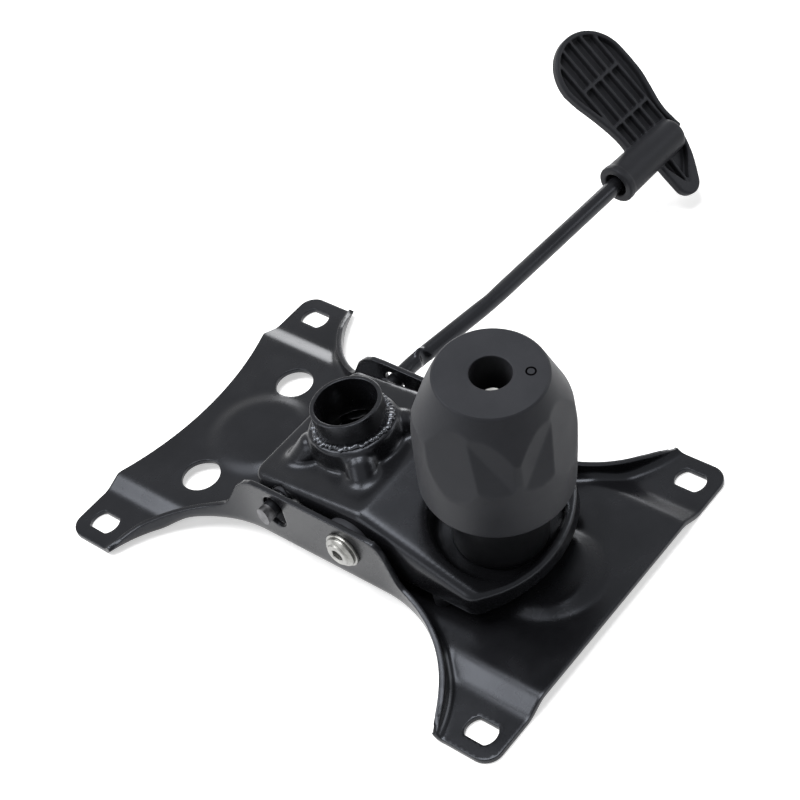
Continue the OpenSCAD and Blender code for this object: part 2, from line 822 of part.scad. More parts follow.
module tension_screw() {
    color(zinc) at_screw() difference() {
        union() {
            rotate([0, 90, 0]) cylinder(h = eye_w, d = screw_eye_d, center = true);
            cylinder(h = screw_end_s, d = screw_d);
        }
        x_bar(-eye_w, eye_w, cross_pin_d + 2 * run_fit);
    }
}

module thrust_washer() {
    color(zinc) at_screw() translate([0, 0, thrust_s])
        tube(thrust_t, thrust_d, screw_d + 2 * run_fit);
}

// Outline of the knob, turned about its axis
module knob_outline() {
    edge = 3;
    polygon([[0, 0], [knob_rim_d / 2 - edge, 0], [knob_rim_d / 2, edge],
        [knob_d / 2, knob_shoulder_h * 0.45], [knob_d / 2, knob_shoulder_h * 0.75],
        [knob_d / 2 - 1, knob_shoulder_h], [knob_top_d / 2, knob_h], [0, knob_h]]);
}

// The cuts of the grip: wide flats, and beside each two pockets that run out on a slope
module knob_grip() {
    pitch = 360 / knob_flats;
    flat_lean = 13.5;
    pocket_lean = 6.3;
    slope_lean = 14.3;
    slope_depth = 4.9;
    for (i = [0 : knob_flats - 1]) rotate(knob_grip_turn + i * pitch) {
        grip_cut(knob_d / 2 - knob_flat_depth, knob_shoulder_h, flat_lean);
        for (side = [-1, 1]) rotate(side * pitch / 6) intersection() {
            grip_cut(knob_d / 2 - knob_pocket_depth, knob_shoulder_h, pocket_lean);
            rotate(side * pitch / 6) grip_cut(knob_d / 2 - slope_depth, knob_shoulder_h, slope_lean);
        }
    }
}

// What lies beyond a plane of the grip, at r from the axis at height z, leaning in at its top
module grip_cut(r, z, lean) {
    translate([r, 0, z]) rotate([0, -lean, 0]) translate([0, -knob_d / 2, -knob_h])
        cube([knob_d / 2, knob_d, 2 * knob_h]);
}

module tension_knob() {
    hollow = hollow_top_s - knob_s;
    color(dark_plastic) at_screw() translate([0, 0, knob_s]) difference() {
        rotate_extrude() knob_outline();
        knob_grip();
        translate([0, 0, -1]) cylinder(h = hollow + 1, d = knob_hollow_d);
        translate([0, 0, hollow - 1]) cylinder(h = knob_h, d = screw_d + 1);
        translate([0, 0, hollow - 1]) hexagon(nut_top_s - knob_s - hollow + 1, knob_nut_af);
        translate([0, 0, nut_top_s - knob_s - eps]) cylinder(h = knob_h, d = knob_hole_d);
    }
}

module knob_nut() {
    color(zinc) at_screw() translate([0, 0, nut_s]) difference() {
        hexagon(knob_nut_h, knob_nut_af);
        translate([0, 0, -1]) cylinder(h = knob_nut_h + 2, d = screw_d + 2 * run_fit);
    }
}

// Lever

// A block that slides with the rod and keeps its two prongs under the deck
module lock_collar() {
    color(nylon) difference() {
        at_rod() translate([collar_x0, -collar_half, -collar_half])
            cube([collar_len, 2 * collar_half, 2 * collar_half + rod_d]);
        at_rod() x_bar(0, reach, rod_hole_d);
        at_rod() translate([0, -collar_mouth / 2, 0]) cube([reach, collar_mouth, reach]);
        translate([0, peak_y, peak_z]) rotate([-deck_slope, 0, 0])
            translate([0, 0, -sheet - collar_play]) cube([reach, reach, reach]);
    }
}

module rod_pin_bars(d) {
    for (x = pin_stations) translate([x, 0, -rod_d / 2 - rod_pin_out]) cylinder(h = rod_d / 2 + rod_pin_out, d = d);
}

module rod_pins() { color(zinc) at_rod() rod_pin_bars(rod_pin_d); }

module release_tongue() {
    color(bright_steel) at_rod() difference() {
        translate([tongue_x - tongue_w / 2, -tongue_len, -tongue_drop - tongue_t])
            cube([tongue_w, tongue_len + rod_d / 2, tongue_t]);
        x_bar(-reach, reach, rod_d);
    }
}

// A bend of the rod: starts along x and turns by a degrees
module rod_bend(a) {
    mirror([0, a > 0 ? 0 : 1, 0]) translate([0, rod_bend_r, 0]) rotate(-90)
        rotate_extrude(angle = abs(a), $fn = 128) translate([rod_bend_r, 0])
            circle(d = rod_d + bend_swell, $fn = 32);
}

// Moves on to the end of a bend of a degrees
module after_bend(a) {
    side = a > 0 ? 1 : -1;
    translate([rod_bend_r * sin(abs(a)), side * rod_bend_r * (1 - cos(a)), 0]) rotate(a) children();
}

// The rod beyond its first bend; its children stand where the handle starts
module rod_route(solid) {
    translate([rod_bend_x, 0, 0]) {
        if (solid) rod_bend(-rod_bend_a);
        after_bend(-rod_bend_a) {
            if (solid) x_bar(-bend_lap, rod_mid_len + bend_lap, rod_d);
            if (solid) crimp(crimp_off, crimp_w);
            translate([rod_mid_len, 0, 0]) {
                if (solid) rod_bend(rod_bend_b);
                after_bend(rod_bend_b) translate([rod_out_len, 0, 0]) children();
            }
        }
    }
}

// The flattened stop that meets the ear when the lever is pushed in
module crimp(x, w) {
    translate([x, -rod_d / 4, -w / 2]) cube([crimp_len, rod_d / 2, w]);
}

module lever_rod() {
    color(black_paint) at_rod() {
        difference() {
            x_bar(-ear_out - rod_stub, rod_bend_x + bend_lap, rod_d);
            rod_pin_bars(rod_pin_d + 2 * pin_fit);
        }
        rod_route(true) x_bar(-rod_out_len - bend_lap, sleeve_len - sleeve_end, rod_d);
    }
}

module blade_plan(inset) {
    end_r = blade_w / 2 - inset;
    end_y = blade_len - blade_w / 2;
    waist = blade_waist_w / 2 - inset;
    translate([0, end_y]) circle(end_r);
    polygon([[-waist, -1], [waist, -1], [waist, blade_waist_len], [end_r, end_y], [-end_r, end_y],
        [-waist, blade_waist_len]]);
}

module tail_plan(inset) {
    end_r = tail_w / 2 - inset;
    end_y = -tail_len + tail_w / 2;
    root = tail_root_w / 2 - inset;
    translate([tail_shift, 0]) {
        translate([0, end_y]) circle(end_r);
        polygon([[-root, 1], [-end_r, end_y], [end_r, end_y], [root, 1]]);
    }
}

// The blade or the tail: a rim and ribs in front of a thin web
module handle_leaf(len) {
    rib_pitch = (blade_w - 2 * blade_rim) / (rib_count + 1);
    difference() {
        linear_extrude(blade_t) children(0);
        translate([0, 0, blade_web]) linear_extrude(blade_t) difference() {
            children(1);
            for (i = [1 : rib_count])
                translate([-blade_w / 2 + blade_rim + i * rib_pitch - rib_w / 2, -reach / 2])
                    square([rib_w, reach]);
            for (k = [1, 2]) translate([-reach / 2, k * len / 3]) square([reach, rib_w]);
        }
    }
}

module lever_handle() {
    color(dark_plastic) at_rod() rod_route(false) difference() {
        union() {
            x_bar(0, sleeve_len, sleeve_d);
            translate([sleeve_len - blade_back, 0, 0]) {
                rotate([blade_slope, 0, 0]) translate([0, 0, -blade_t / 2]) handle_leaf(blade_len) {
                    blade_plan(0);
                    blade_plan(blade_rim);
                }
                rotate([tail_slope, 0, 0]) translate([0, 0, -blade_t / 2]) handle_leaf(-reach) {
                    tail_plan(0);
                    tail_plan(blade_rim);
                }
            }
        }
        x_bar(-1, sleeve_len - sleeve_end, rod_d);
        x_bar(-1, sleeve_mouth_depth, sleeve_mouth_d);
    }
}

seat_plate();
screw_bracket();
cross_pin();
front_buffers();
rear_buffers();
pivot_bolt();
pivot_washers();
pivot_nut();
tilt_housing();
gas_lift_socket();
socket_weld();
pivot_bushes();
friction_discs();
pivot_spacer();
rod_bushes();
spring_cup();
tension_spring();
tension_screw();
thrust_washer();
tension_knob();
knob_nut();
lock_collar();
lever_rod();
rod_pins();
release_tongue();
lever_handle();
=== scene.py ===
import bpy
import bmesh
import json
import numpy as np
from math import sin, cos, tan, pi, radians, acos, sqrt, hypot
from mathutils import Matrix, Vector
from mathutils.geometry import delaunay_2d_cdt
from mathutils.kdtree import KDTree


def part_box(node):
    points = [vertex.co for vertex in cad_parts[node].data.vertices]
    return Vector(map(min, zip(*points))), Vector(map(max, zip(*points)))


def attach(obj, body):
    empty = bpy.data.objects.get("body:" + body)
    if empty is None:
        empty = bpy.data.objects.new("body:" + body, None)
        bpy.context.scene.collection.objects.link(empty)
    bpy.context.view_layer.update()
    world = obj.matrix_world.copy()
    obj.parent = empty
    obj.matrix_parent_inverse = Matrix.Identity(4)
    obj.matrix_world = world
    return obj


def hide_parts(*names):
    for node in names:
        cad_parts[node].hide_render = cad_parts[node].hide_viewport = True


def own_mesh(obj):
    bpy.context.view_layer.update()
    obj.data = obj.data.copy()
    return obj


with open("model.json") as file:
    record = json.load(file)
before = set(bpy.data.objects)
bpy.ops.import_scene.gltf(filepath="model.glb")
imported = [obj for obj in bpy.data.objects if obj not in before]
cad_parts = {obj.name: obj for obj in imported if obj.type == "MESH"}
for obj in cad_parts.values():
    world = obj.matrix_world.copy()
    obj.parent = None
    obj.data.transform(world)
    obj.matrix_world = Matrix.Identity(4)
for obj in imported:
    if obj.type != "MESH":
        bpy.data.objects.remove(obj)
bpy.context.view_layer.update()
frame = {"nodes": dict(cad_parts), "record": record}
nodes = frame["nodes"]
mm = 0.001
print("frame loaded:", len(nodes), "nodes")


# node helpers
cloudSpan = (0.3, 0.7)  # noise values between which a finish goes from its dark to its light tone


def addNode(tree, kind, links=(), **values):
    node = tree.nodes.new(kind)
    for key, value in values.items():
        setattr(node, key, value)
    for source, target in links:
        tree.links.new(source, node.inputs[target])
    return node


def setInputs(node, values):
    for name, value in values.items():
        node.inputs[name].default_value = value


# a specular tint other than white colours the reflections: painted light, standing in for a cool cast in the light
def newFinish(name, base, rough, metal=0.0, specular=0.5, tint=(1.0, 1.0, 1.0)):
    mat = bpy.data.materials.new(name)
    mat.use_nodes = True
    tree = mat.node_tree
    shader = tree.nodes["Principled BSDF"]
    setInputs(shader, {"Base Color": (*base, 1), "Roughness": rough, "Metallic": metal,
                       "Specular IOR Level": specular, "Specular Tint": (*tint, 1)})
    coords = tree.nodes.new("ShaderNodeTexCoord")
    return mat, tree, shader, coords.outputs["Object"]


def noiseNode(tree, coords, scale, detail):
    node = addNode(tree, "ShaderNodeTexNoise", [(coords, "Vector")])
    setInputs(node, {"Scale": scale, "Detail": detail, "Roughness": 0.55})
    return node.outputs["Fac"]


def rangeNode(tree, value, low, high, newLow, newHigh):
    node = addNode(tree, "ShaderNodeMapRange", [(value, "Value")])
    setInputs(node, {"From Min": low, "From Max": high, "To Min": newLow, "To Max": newHigh})
    return node.outputs["Result"]


def tintNode(tree, value, dark, light):
    node = addNode(tree, "ShaderNodeValToRGB", [(value, "Fac")])
    for element, at, tone in zip(node.color_ramp.elements, cloudSpan, (dark, light)):
        element.position = at
        element.color = (*tone, 1)
    return node.outputs["Color"]


def bumpNode(tree, shader, height, strength, distance):
    node = addNode(tree, "ShaderNodeBump", [(height, "Height")])
    setInputs(node, {"Strength": strength, "Distance": distance})
    tree.links.new(node.outputs["Normal"], shader.inputs["Normal"])


# black stove paint on pressed steel: satin, faint orange peel, cloudy gloss; its bluish specular tint is painted
# light, for a cool cast in the light
paint = {"dark": (0.0045, 0.0046, 0.0054), "light": (0.0075, 0.0077, 0.009), "rough": (0.21, 0.31), "gloss": 0.26,
         "tint": (0.84, 0.89, 1.0), "cloud": (40.0, 4), "grain": (900.0, 2), "bump": (0.06, 0.0002)}
# moulded plastic with a fine spark texture; its bluish specular tint is painted light as well
plastic = {"dark": (0.0175, 0.018, 0.0205), "light": (0.0225, 0.023, 0.026), "rough": (0.42, 0.52), "gloss": 0.12,
           "tint": (0.84, 0.89, 1.0), "cloud": (60.0, 4), "grain": (2600.0, 3), "bump": (0.25, 0.0002)}
# plated or bare steel with turning marks and light tarnish
steel = {"roughRun": (-0.06, 0.12), "cloud": (220.0, 5), "grain": (1800.0, 2), "bump": (0.12, 0.0001)}


def cloudFinish(look, finish, dark, light, rough):  # tone and gloss vary together, over a fine grain
    mat, tree, shader, coords = finish
    cloud = noiseNode(tree, coords, *look["cloud"])
    tree.links.new(tintNode(tree, cloud, dark, light), shader.inputs["Base Color"])
    tree.links.new(rangeNode(tree, cloud, *cloudSpan, *rough), shader.inputs["Roughness"])
    bumpNode(tree, shader, noiseNode(tree, coords, *look["grain"]), *look["bump"])
    return mat


def makeCoat(look, name, lift=1.0, roughShift=0.0, gloss=None):
    dark, light = (tuple(c * lift for c in look[tone]) for tone in ("dark", "light"))
    rough = [r + roughShift for r in look["rough"]]
    finish = newFinish(name, dark, rough[0], 0.0, look["gloss"] if gloss is None else gloss, look["tint"])
    return cloudFinish(look, finish, dark, light, rough)


def makeSteel(name, dark, light, rough):
    run = [rough + r for r in steel["roughRun"]]
    return cloudFinish(steel, newFinish(name, light, rough, 1.0), dark, light, run)


paintedSteel = makeCoat(paint, "paintedSteel")
weldPaint = makeCoat(paint, "weldPaint", roughShift=-0.04, gloss=0.8)
knobPlastic = makeCoat(plastic, "knobPlastic")
handlePlastic = makeCoat(plastic, "handlePlastic", 0.75)
cupPlastic = makeCoat(plastic, "cupPlastic", 0.3, -0.1)
# painted shade: near-black and without gloss, for the thin dark line of the ring on the knob's top
markShadeBlack = makeCoat(plastic, "markShadeBlack", 0.05, 0.3, 0.0)
zincPlate = makeSteel("zincPlate", (0.19, 0.19, 0.18), (0.36, 0.36, 0.35), 0.34)
wornSteel = makeSteel("wornSteel", (0.035, 0.035, 0.037), (0.2, 0.2, 0.21), 0.45)
bareSteel = makeSteel("bareSteel", (0.34, 0.34, 0.35), (0.52, 0.52, 0.54), 0.34)
# painted highlight: a lighter steel on the screw's end, for the glint seen down the knob's hole
glintSteel = makeSteel("glintSteel", (0.6, 0.6, 0.58), (0.8, 0.8, 0.78), 0.5)
nylon = makeCoat(plastic, "nylon", 1.2, 0.05)
rubber = makeCoat(plastic, "rubber", 0.8, 0.3)
print("finishes made")


# every node starts with its own slot's finish, until a piece replaces it
slotFinish = {"painted_steel": paintedSteel, "zinc": zincPlate, "bright_steel": bareSteel,
              "dark_plastic": handlePlastic, "nylon": nylon, "rubber": rubber}
nodeSlot = {s["node"]: s["material_slot"] for s in frame["record"]["subparts"]}
nodeBody = {n: b for b, names in frame["record"]["behaviour"]["bodies"].items() for n in names}


def coat(obj, finish):
    obj.data.materials.clear()
    obj.data.materials.append(finish)


for name, node in nodes.items():
    coat(node, slotFinish[nodeSlot[name]])


def addObject(name, data):
    obj = bpy.data.objects.new(name, data)
    bpy.context.scene.collection.objects.link(obj)
    return obj


# camera fitted to the photograph, in millimetres and degrees
cameraSet = {"target": (53.05, 37.24, 0.0), "distance": 900.68, "azimuth": 319.98, "elevation": 44.29,
             "roll": -15.57, "lens": 86.917, "sensor": 36.0, "near": 10.0}


def placeCamera(c):
    az, el, roll = (radians(c[k]) for k in ("azimuth", "elevation", "roll"))
    ahead = Vector((-sin(az) * cos(el), cos(az) * cos(el), -sin(el)))
    flat = Vector((cos(az), sin(az), 0))
    upright = flat.cross(ahead)
    right = flat * cos(roll) + upright * sin(roll)
    up = upright * cos(roll) - flat * sin(roll)
    place = Vector(c["target"]) - ahead * c["distance"]
    data = bpy.data.cameras.new("photoCamera")
    data.lens = c["lens"]
    data.sensor_width = c["sensor"]
    data.clip_start = c["near"] * mm
    cam = addObject("photoCamera", data)
    cam.matrix_world = Matrix.Translation(place * mm) @ Matrix((right, up, -ahead)).transposed().to_4x4()
    bpy.context.scene.camera = cam


placeCamera(cameraSet)


# mesh helpers, all sizes in millimetres
def newObject(name, points, faces, finish, place=None):
    points = np.asarray(points, float)
    if place is not None:
        turn = np.array(place)
        points = points @ turn[:3, :3].T + turn[:3, 3]
    mesh = bpy.data.meshes.new(name)
    mesh.from_pydata((points * mm).tolist(), [], faces)
    mesh.materials.append(finish)
    return addObject(name, mesh)


def newWire(name, points, edges):  # a path for a node group
    mesh = bpy.data.meshes.new(name)
    mesh.from_pydata([tuple(c * mm for c in q) for q in points], edges, [])
    return addObject(name, mesh)


def cleanMesh(obj, turn=True, near=1e-7):
    bm = bmesh.new()
    bm.from_mesh(obj.data)
    bmesh.ops.remove_doubles(bm, verts=bm.verts, dist=near)
    bmesh.ops.dissolve_degenerate(bm, edges=bm.edges, dist=near)
    if turn:
        bmesh.ops.recalc_face_normals(bm, faces=bm.faces)
    bm.to_mesh(obj.data)
    bm.free()


def settle(obj):  # modifiers become a plain mesh
    bpy.context.view_layer.update()
    done = bpy.data.meshes.new_from_object(obj.evaluated_get(bpy.context.evaluated_depsgraph_get()))
    obj.modifiers.clear()
    obj.data = done
    done.name = obj.name


def addModifier(obj, name, kind, **values):
    mod = obj.modifiers.new(name, kind)
    for key, value in values.items():
        setattr(mod, key, value)


def melt(obj, voxel, rounds):  # one even skin with eased edges
    addModifier(obj, "even", "REMESH", mode="VOXEL", voxel_size=voxel * mm)
    addModifier(obj, "ease", "SMOOTH", factor=0.5, iterations=rounds)
    settle(obj)


def readPoints(obj):
    points = np.empty(len(obj.data.vertices) * 3)
    obj.data.vertices.foreach_get("co", points)
    return points.reshape(-1, 3) / mm


def writePoints(obj, points):
    obj.data.vertices.foreach_set("co", (points * mm).ravel())
    obj.data.update()


def shade(obj, sharp=35.0):
    obj.data.polygons.foreach_set("use_smooth", [True] * len(obj.data.polygons))
    obj.data.set_sharp_from_angle(angle=radians(sharp))
    return obj


def joinInto(obj, *others):
    bm = bmesh.new()
    bm.from_mesh(obj.data)
    for other in others:
        bm.from_mesh(other.data)
        bpy.data.objects.remove(other)
    bm.to_mesh(obj.data)
    bm.free()


def handOver(obj, node):  # rides where its node rode
    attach(obj, nodeBody[node])
    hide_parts(node)


def bevelEdges(obj, width, angle=40.0):
    addModifier(obj, "edges", "BEVEL", width=width * mm, segments=2, limit_method="ANGLE",
                angle_limit=radians(angle), use_clamp_overlap=True)
    settle(obj)


def roundCorners(profile, radius, steps=4, closed=True):  # corners of an (r, z) outline become arcs
    count = len(profile)
    out = []
    for i, point in enumerate(profile):
        p = np.array(point[:2], float)
        r = point[2] if len(point) > 2 else radius
        if r <= 0 or (not closed and i in (0, count - 1)):
            out.append(p)
            continue
        a = np.array(profile[i - 1][:2], float) - p
        b = np.array(profile[(i + 1) % count][:2], float) - p
        la, lb = np.linalg.norm(a), np.linalg.norm(b)
        a, b = a / la, b / lb
        back = min(r / max(tan(acos(np.clip(a @ b, -1, 1)) / 2), 1e-6), la * 0.45, lb * 0.45)
        for k in range(steps + 1):  # a parabola is near enough to an arc here
            t = k / steps
            out.append((1 - t) ** 2 * (p + a * back) + 2 * t * (1 - t) * p + t * t * (p + b * back))
    return out


def gridFaces(rows, count, ring=True, closed=True):  # between neighbouring rows of points
    faces = []
    for i in range(rows if ring else rows - 1):
        a, b = i * count, (i + 1) % rows * count
        for k in range(count if closed else count - 1):
            n = (k + 1) % count
            faces.append((a + k, b + k, b + n, a + n))
    return faces


def capFaces(rows, count):
    return [tuple(range(count))[::-1], tuple(range((rows - 1) * count, rows * count))]


def latheObject(name, profile, steps, finish, place, closed=True):
    angles = [2 * pi * i / steps for i in range(steps)]
    points = [(r * cos(a), r * sin(a), z) for a in angles for r, z in profile]
    obj = newObject(name, points, gridFaces(steps, len(profile), closed=closed), finish, place)
    cleanMesh(obj)
    return obj


def leaning(origin, angle):
    return Matrix.Translation(origin) @ Matrix.Rotation(radians(angle), 4, "X")


atScrew = leaning((0, -64.8, 12.0), 8.4)
atSocket = leaning((0, 9.0, 62.3), -4.0)
atPivot = Matrix.Translation((0, -16.6, 26.0)) @ Matrix.Rotation(radians(90), 4, "Y")  # z along the chair's x


def onScrew(z, x=0, y=0):  # a place along the screw
    return atScrew @ Matrix.Translation((x, y, z))


# node groups: a tree with named inputs that ends in realized, finished geometry
def newGroup(name, **inputs):
    group = bpy.data.node_groups.new(name, "GeometryNodeTree")
    for label, kind in {"Geometry": "Geometry", **inputs}.items():
        group.interface.new_socket(label, in_out="INPUT", socket_type="NodeSocket" + kind)
    group.interface.new_socket("Geometry", in_out="OUTPUT", socket_type="NodeSocketGeometry")
    return group, group.nodes.new("NodeGroupInput")


def sweep(group, path, shape):  # a closed shape drawn along a path
    node = addNode(group, "GeometryNodeCurveToMesh", [(path.outputs["Curve"], "Curve"),
                                                      (shape.outputs["Curve"], "Profile Curve")])
    setInputs(node, {"Fill Caps": True})
    return node.outputs["Mesh"]


def endGroup(group, start, geometry):
    real = addNode(group, "GeometryNodeRealizeInstances", [(geometry, "Geometry")])
    coated = addNode(group, "GeometryNodeSetMaterial", [(real.outputs["Geometry"], "Geometry"),
                                                        (start.outputs["Finish"], "Material")])
    addNode(group, "NodeGroupOutput", [(coated.outputs["Geometry"], "Geometry")])


def runGroup(obj, group, values):
    mod = obj.modifiers.new(group.name, "NODES")
    mod.node_group = group
    for item in group.interface.items_tree:
        if item.item_type == "SOCKET" and item.in_out == "INPUT" and item.name in values:
            mod[item.identifier] = values[item.name]
    settle(obj)


def placePoints(obj, place):  # moves the mesh, not the object
    obj.data.transform(Matrix.Scale(mm, 4) @ place @ Matrix.Scale(1 / mm, 4))


# pressed seat plate: drawn flat, then folded up along both hollowed sides
plate = {"sheet": 2.5, "fold": 3.5, "rise": 4.0, "riseFrom": 51.5, "riseRun": 9.0, "halfX": 86.7, "halfY": 122.0,
         "corner": 8.0, "waistX": 103.5, "waistY": 35.0, "waistStep": 1.5, "foldRho": 66.0, "foldX": 37.5,
         "emboss": ((77.0, 18.8, 110.0, 2.0), (-87.1, 18.6, -75.0, 3.0)), "embossRun": 7.2, "stopRun": 5.0,
         "rearHollow": 9.5, "rearHalf": 52.0, "slot": (75.0, 109.0, 7.0, 5.0), "hole": (33.2, 85.0, 9.1),
         "pivotHole": (-16.6, 26.0, 5.05), "rodSlot": (23.0, 30.0, 23.06, 5.5), "flangeFrom": 12.0, "flangeSteps": 70,
         "grid": 1.7, "row": 1.1, "rows": 5.6, "rowTurn": (6.0, 88.5), "station": 2.0, "foldClear": (-0.9, 6.4),
         "rimStep": 1.2, "rimClear": 0.55, "sliver": 0.02, "edge": 0.55}
# height of the flanges' and ears' upper edge along the plate
earLine = [(-97, 3), (-95, 4.6), (-93, 6.3), (-91, 7.8), (-88, 9.3), (-81, 11), (-68, 14), (-52, 16.5), (-46.5, 18),
           (-44, 21), (-39.6, 33.5), (-37.8, 36.6), (-35, 38.5), (-31, 39), (29, 39), (35, 38.5), (40, 36.2),
           (45, 31.6), (52, 20), (54.5, 17.6), (58, 16), (64, 14.2), (88, 9.4), (91, 7.8), (93, 6.3), (95, 4.6),
           (97, 3)]


def ease(t):
    t = np.clip(t, 0, 1)
    return t * t * (3 - 2 * t)


def slope(t, soft=0.25):  # straight, with rounded ends
    t = np.clip(t, -soft, 1 + soft)
    low = np.where(t < soft, (t + soft) ** 2 / (4 * soft), t)
    return np.where(t > 1 - soft, 1 - (1 + soft - t) ** 2 / (4 * soft), low)


def plateTop(x, y):
    p = plate
    z = p["sheet"] + p["rise"] * (1 - slope((np.abs(x) - p["riseFrom"]) / p["riseRun"]))
    for centre, inner, stop, height in p["emboss"]:  # the front one stops short of the screw bracket
        up = 1 - slope((np.hypot(x, y - centre) - inner) / p["embossRun"])
        z = z + height * up * (1 - slope((y - stop) / p["stopRun"]))
    return z


def foldAway(x, y):  # distance past the start of the fold, where it starts, and which way it goes
    p = plate
    side = np.where(x < 0, -1.0, 1.0)
    cx, cy = side * p["waistX"], np.clip(y, -p["waistY"], p["waistY"])
    dx, dy = cx - x, cy - y
    rho = np.maximum(np.hypot(dx, dy), 1e-9)
    ux, uy = dx / rho, dy / rho
    away = p["foldRho"] - rho
    return away, cx - ux * p["foldRho"], cy - uy * p["foldRho"], ux, uy


def foldUp(x, y):
    p = plate
    away, bx, by, ux, uy = foldAway(x, y)
    s = np.maximum(away, 0)
    turn = np.minimum(s / p["fold"], pi / 2)
    past = np.maximum(s - pi / 2 * p["fold"], 0)
    inside = away <= 0
    fx = np.where(inside, x, bx + ux * p["fold"] * np.sin(turn))
    fy = np.where(inside, y, by + uy * p["fold"] * np.sin(turn))
    base = plateTop(np.where(inside, x, bx), np.where(inside, y, by))
    return np.stack([fx, fy, base + p["fold"] * (1 - np.cos(turn)) + past], 1)


def flangeReach(bx, by, y):  # how far the flat sheet goes past the fold
    p = plate
    height = np.interp(y, *zip(*earLine)) - plateTop(bx, by)
    low = p["fold"] * np.arccos(np.clip(1 - height / p["fold"], -1, 1))
    return np.where(height < p["fold"], low, pi / 2 * p["fold"] + height - p["fold"])


def flangeEdge(sy):  # flat outline from the tab's side edge to the waist, for x > 0
    p = plate
    out = []
    for a in np.linspace(radians(p["flangeFrom"]), radians(90), p["flangeSteps"]):
        ux, uy = -sin(a), sy * cos(a)
        bx, by = p["waistX"] + p["foldRho"] * ux, sy * p["waistY"] + p["foldRho"] * uy
        rho = p["foldRho"] - flangeReach(bx, by, sy * p["waistY"] + (p["foldRho"] - p["fold"]) * uy)
        x, y = p["waistX"] + rho * ux, sy * p["waistY"] + rho * uy
        if x < p["halfX"]:
            out.append((x, y))
    return [(p["halfX"], out[0][1])] + out


def plateOutline():
    p = plate
    c = p["corner"]
    arc = [(cos(a), sin(a)) for a in np.linspace(0, pi / 2, 9)]
    right = [(p["halfX"] - c + c * u, -p["halfY"] + c - c * v) for u, v in reversed(arc)]
    waist = [(p["foldX"] + flangeReach(p["foldX"], y, y), y)
             for y in np.arange(-p["waistY"] + p["waistStep"], p["waistY"] - 1, p["waistStep"])]
    right += flangeEdge(-1) + [(float(x), float(y)) for x, y in waist] + flangeEdge(1)[::-1]
    right += [(p["halfX"] - c + c * u, p["halfY"] - c + c * v) for u, v in arc]
    r = (p["rearHalf"] ** 2 + p["rearHollow"] ** 2) / (2 * p["rearHollow"])
    rear = [(x, p["halfY"] - p["rearHollow"] + r - sqrt(r * r - x * x)) for x in np.linspace(p["rearHalf"], 0, 27)]
    half = right + rear
    return half + [(-x, y) for x, y in reversed(half[:-1])]


def evenLoop(loop, step):  # long edges get points, to follow what is pressed into the sheet
    out = []
    for p, q in zip(loop, loop[1:] + loop[:1]):
        n = max(1, int(np.ceil(hypot(q[0] - p[0], q[1] - p[1]) / step)))
        out += [(p[0] + (q[0] - p[0]) * i / n, p[1] + (q[1] - p[1]) * i / n) for i in range(n)]
    return out


def ringPoints(x, y, r, half=0.0, flat=99.0, count=40):
    return [(x + min(max(r * cos(a), -flat), flat), y + r * sin(a) + (half if sin(a) > 0 else -half))
            for a in (np.arange(count) + 0.5) * 2 * pi / count]


def plateHoles():
    p = plate
    holes = []

    def flatX(z):  # where a height on an ear lies in the flat sheet
        return z + p["foldX"] + (pi / 2 - 1) * p["fold"] - p["sheet"] - p["rise"]

    for sx in (-1, 1):
        for sy in (-1, 1):
            x, y, r, flat = p["slot"]
            holes.append(ringPoints(sx * x, sy * y, r, 0.0, flat))
        x, y, r = p["hole"]
        holes.append(ringPoints(sx * x, y, r))
        y, z, r = p["pivotHole"]
        holes.append(ringPoints(sx * flatX(z), y, r))
        y, z1, z0, r = p["rodSlot"]
        spin = ringPoints(y, 0, r, (z1 - z0) / 2)
        holes.append([(sx * flatX((z1 + z0) / 2 + v), u) for u, v in spin])
    return holes


def insideLoop(points, loop):
    x, y = points[:, 0][:, None], points[:, 1][:, None]
    a = np.array(loop)
    b = np.roll(a, -1, 0)
    cross = (a[:, 1] > y) != (b[:, 1] > y)
    at = (b[:, 0] - a[:, 0]) * (y - a[:, 1]) / np.where(cross, b[:, 1] - a[:, 1], 1) + a[:, 0]
    return (cross & (x < at)).sum(1) % 2 == 1


def onSheet(points, loops):  # inside the outline and outside every hole
    keep = insideLoop(points, loops[0])
    for hole in loops[1:]:
        keep &= ~insideLoop(points, hole)
    return keep


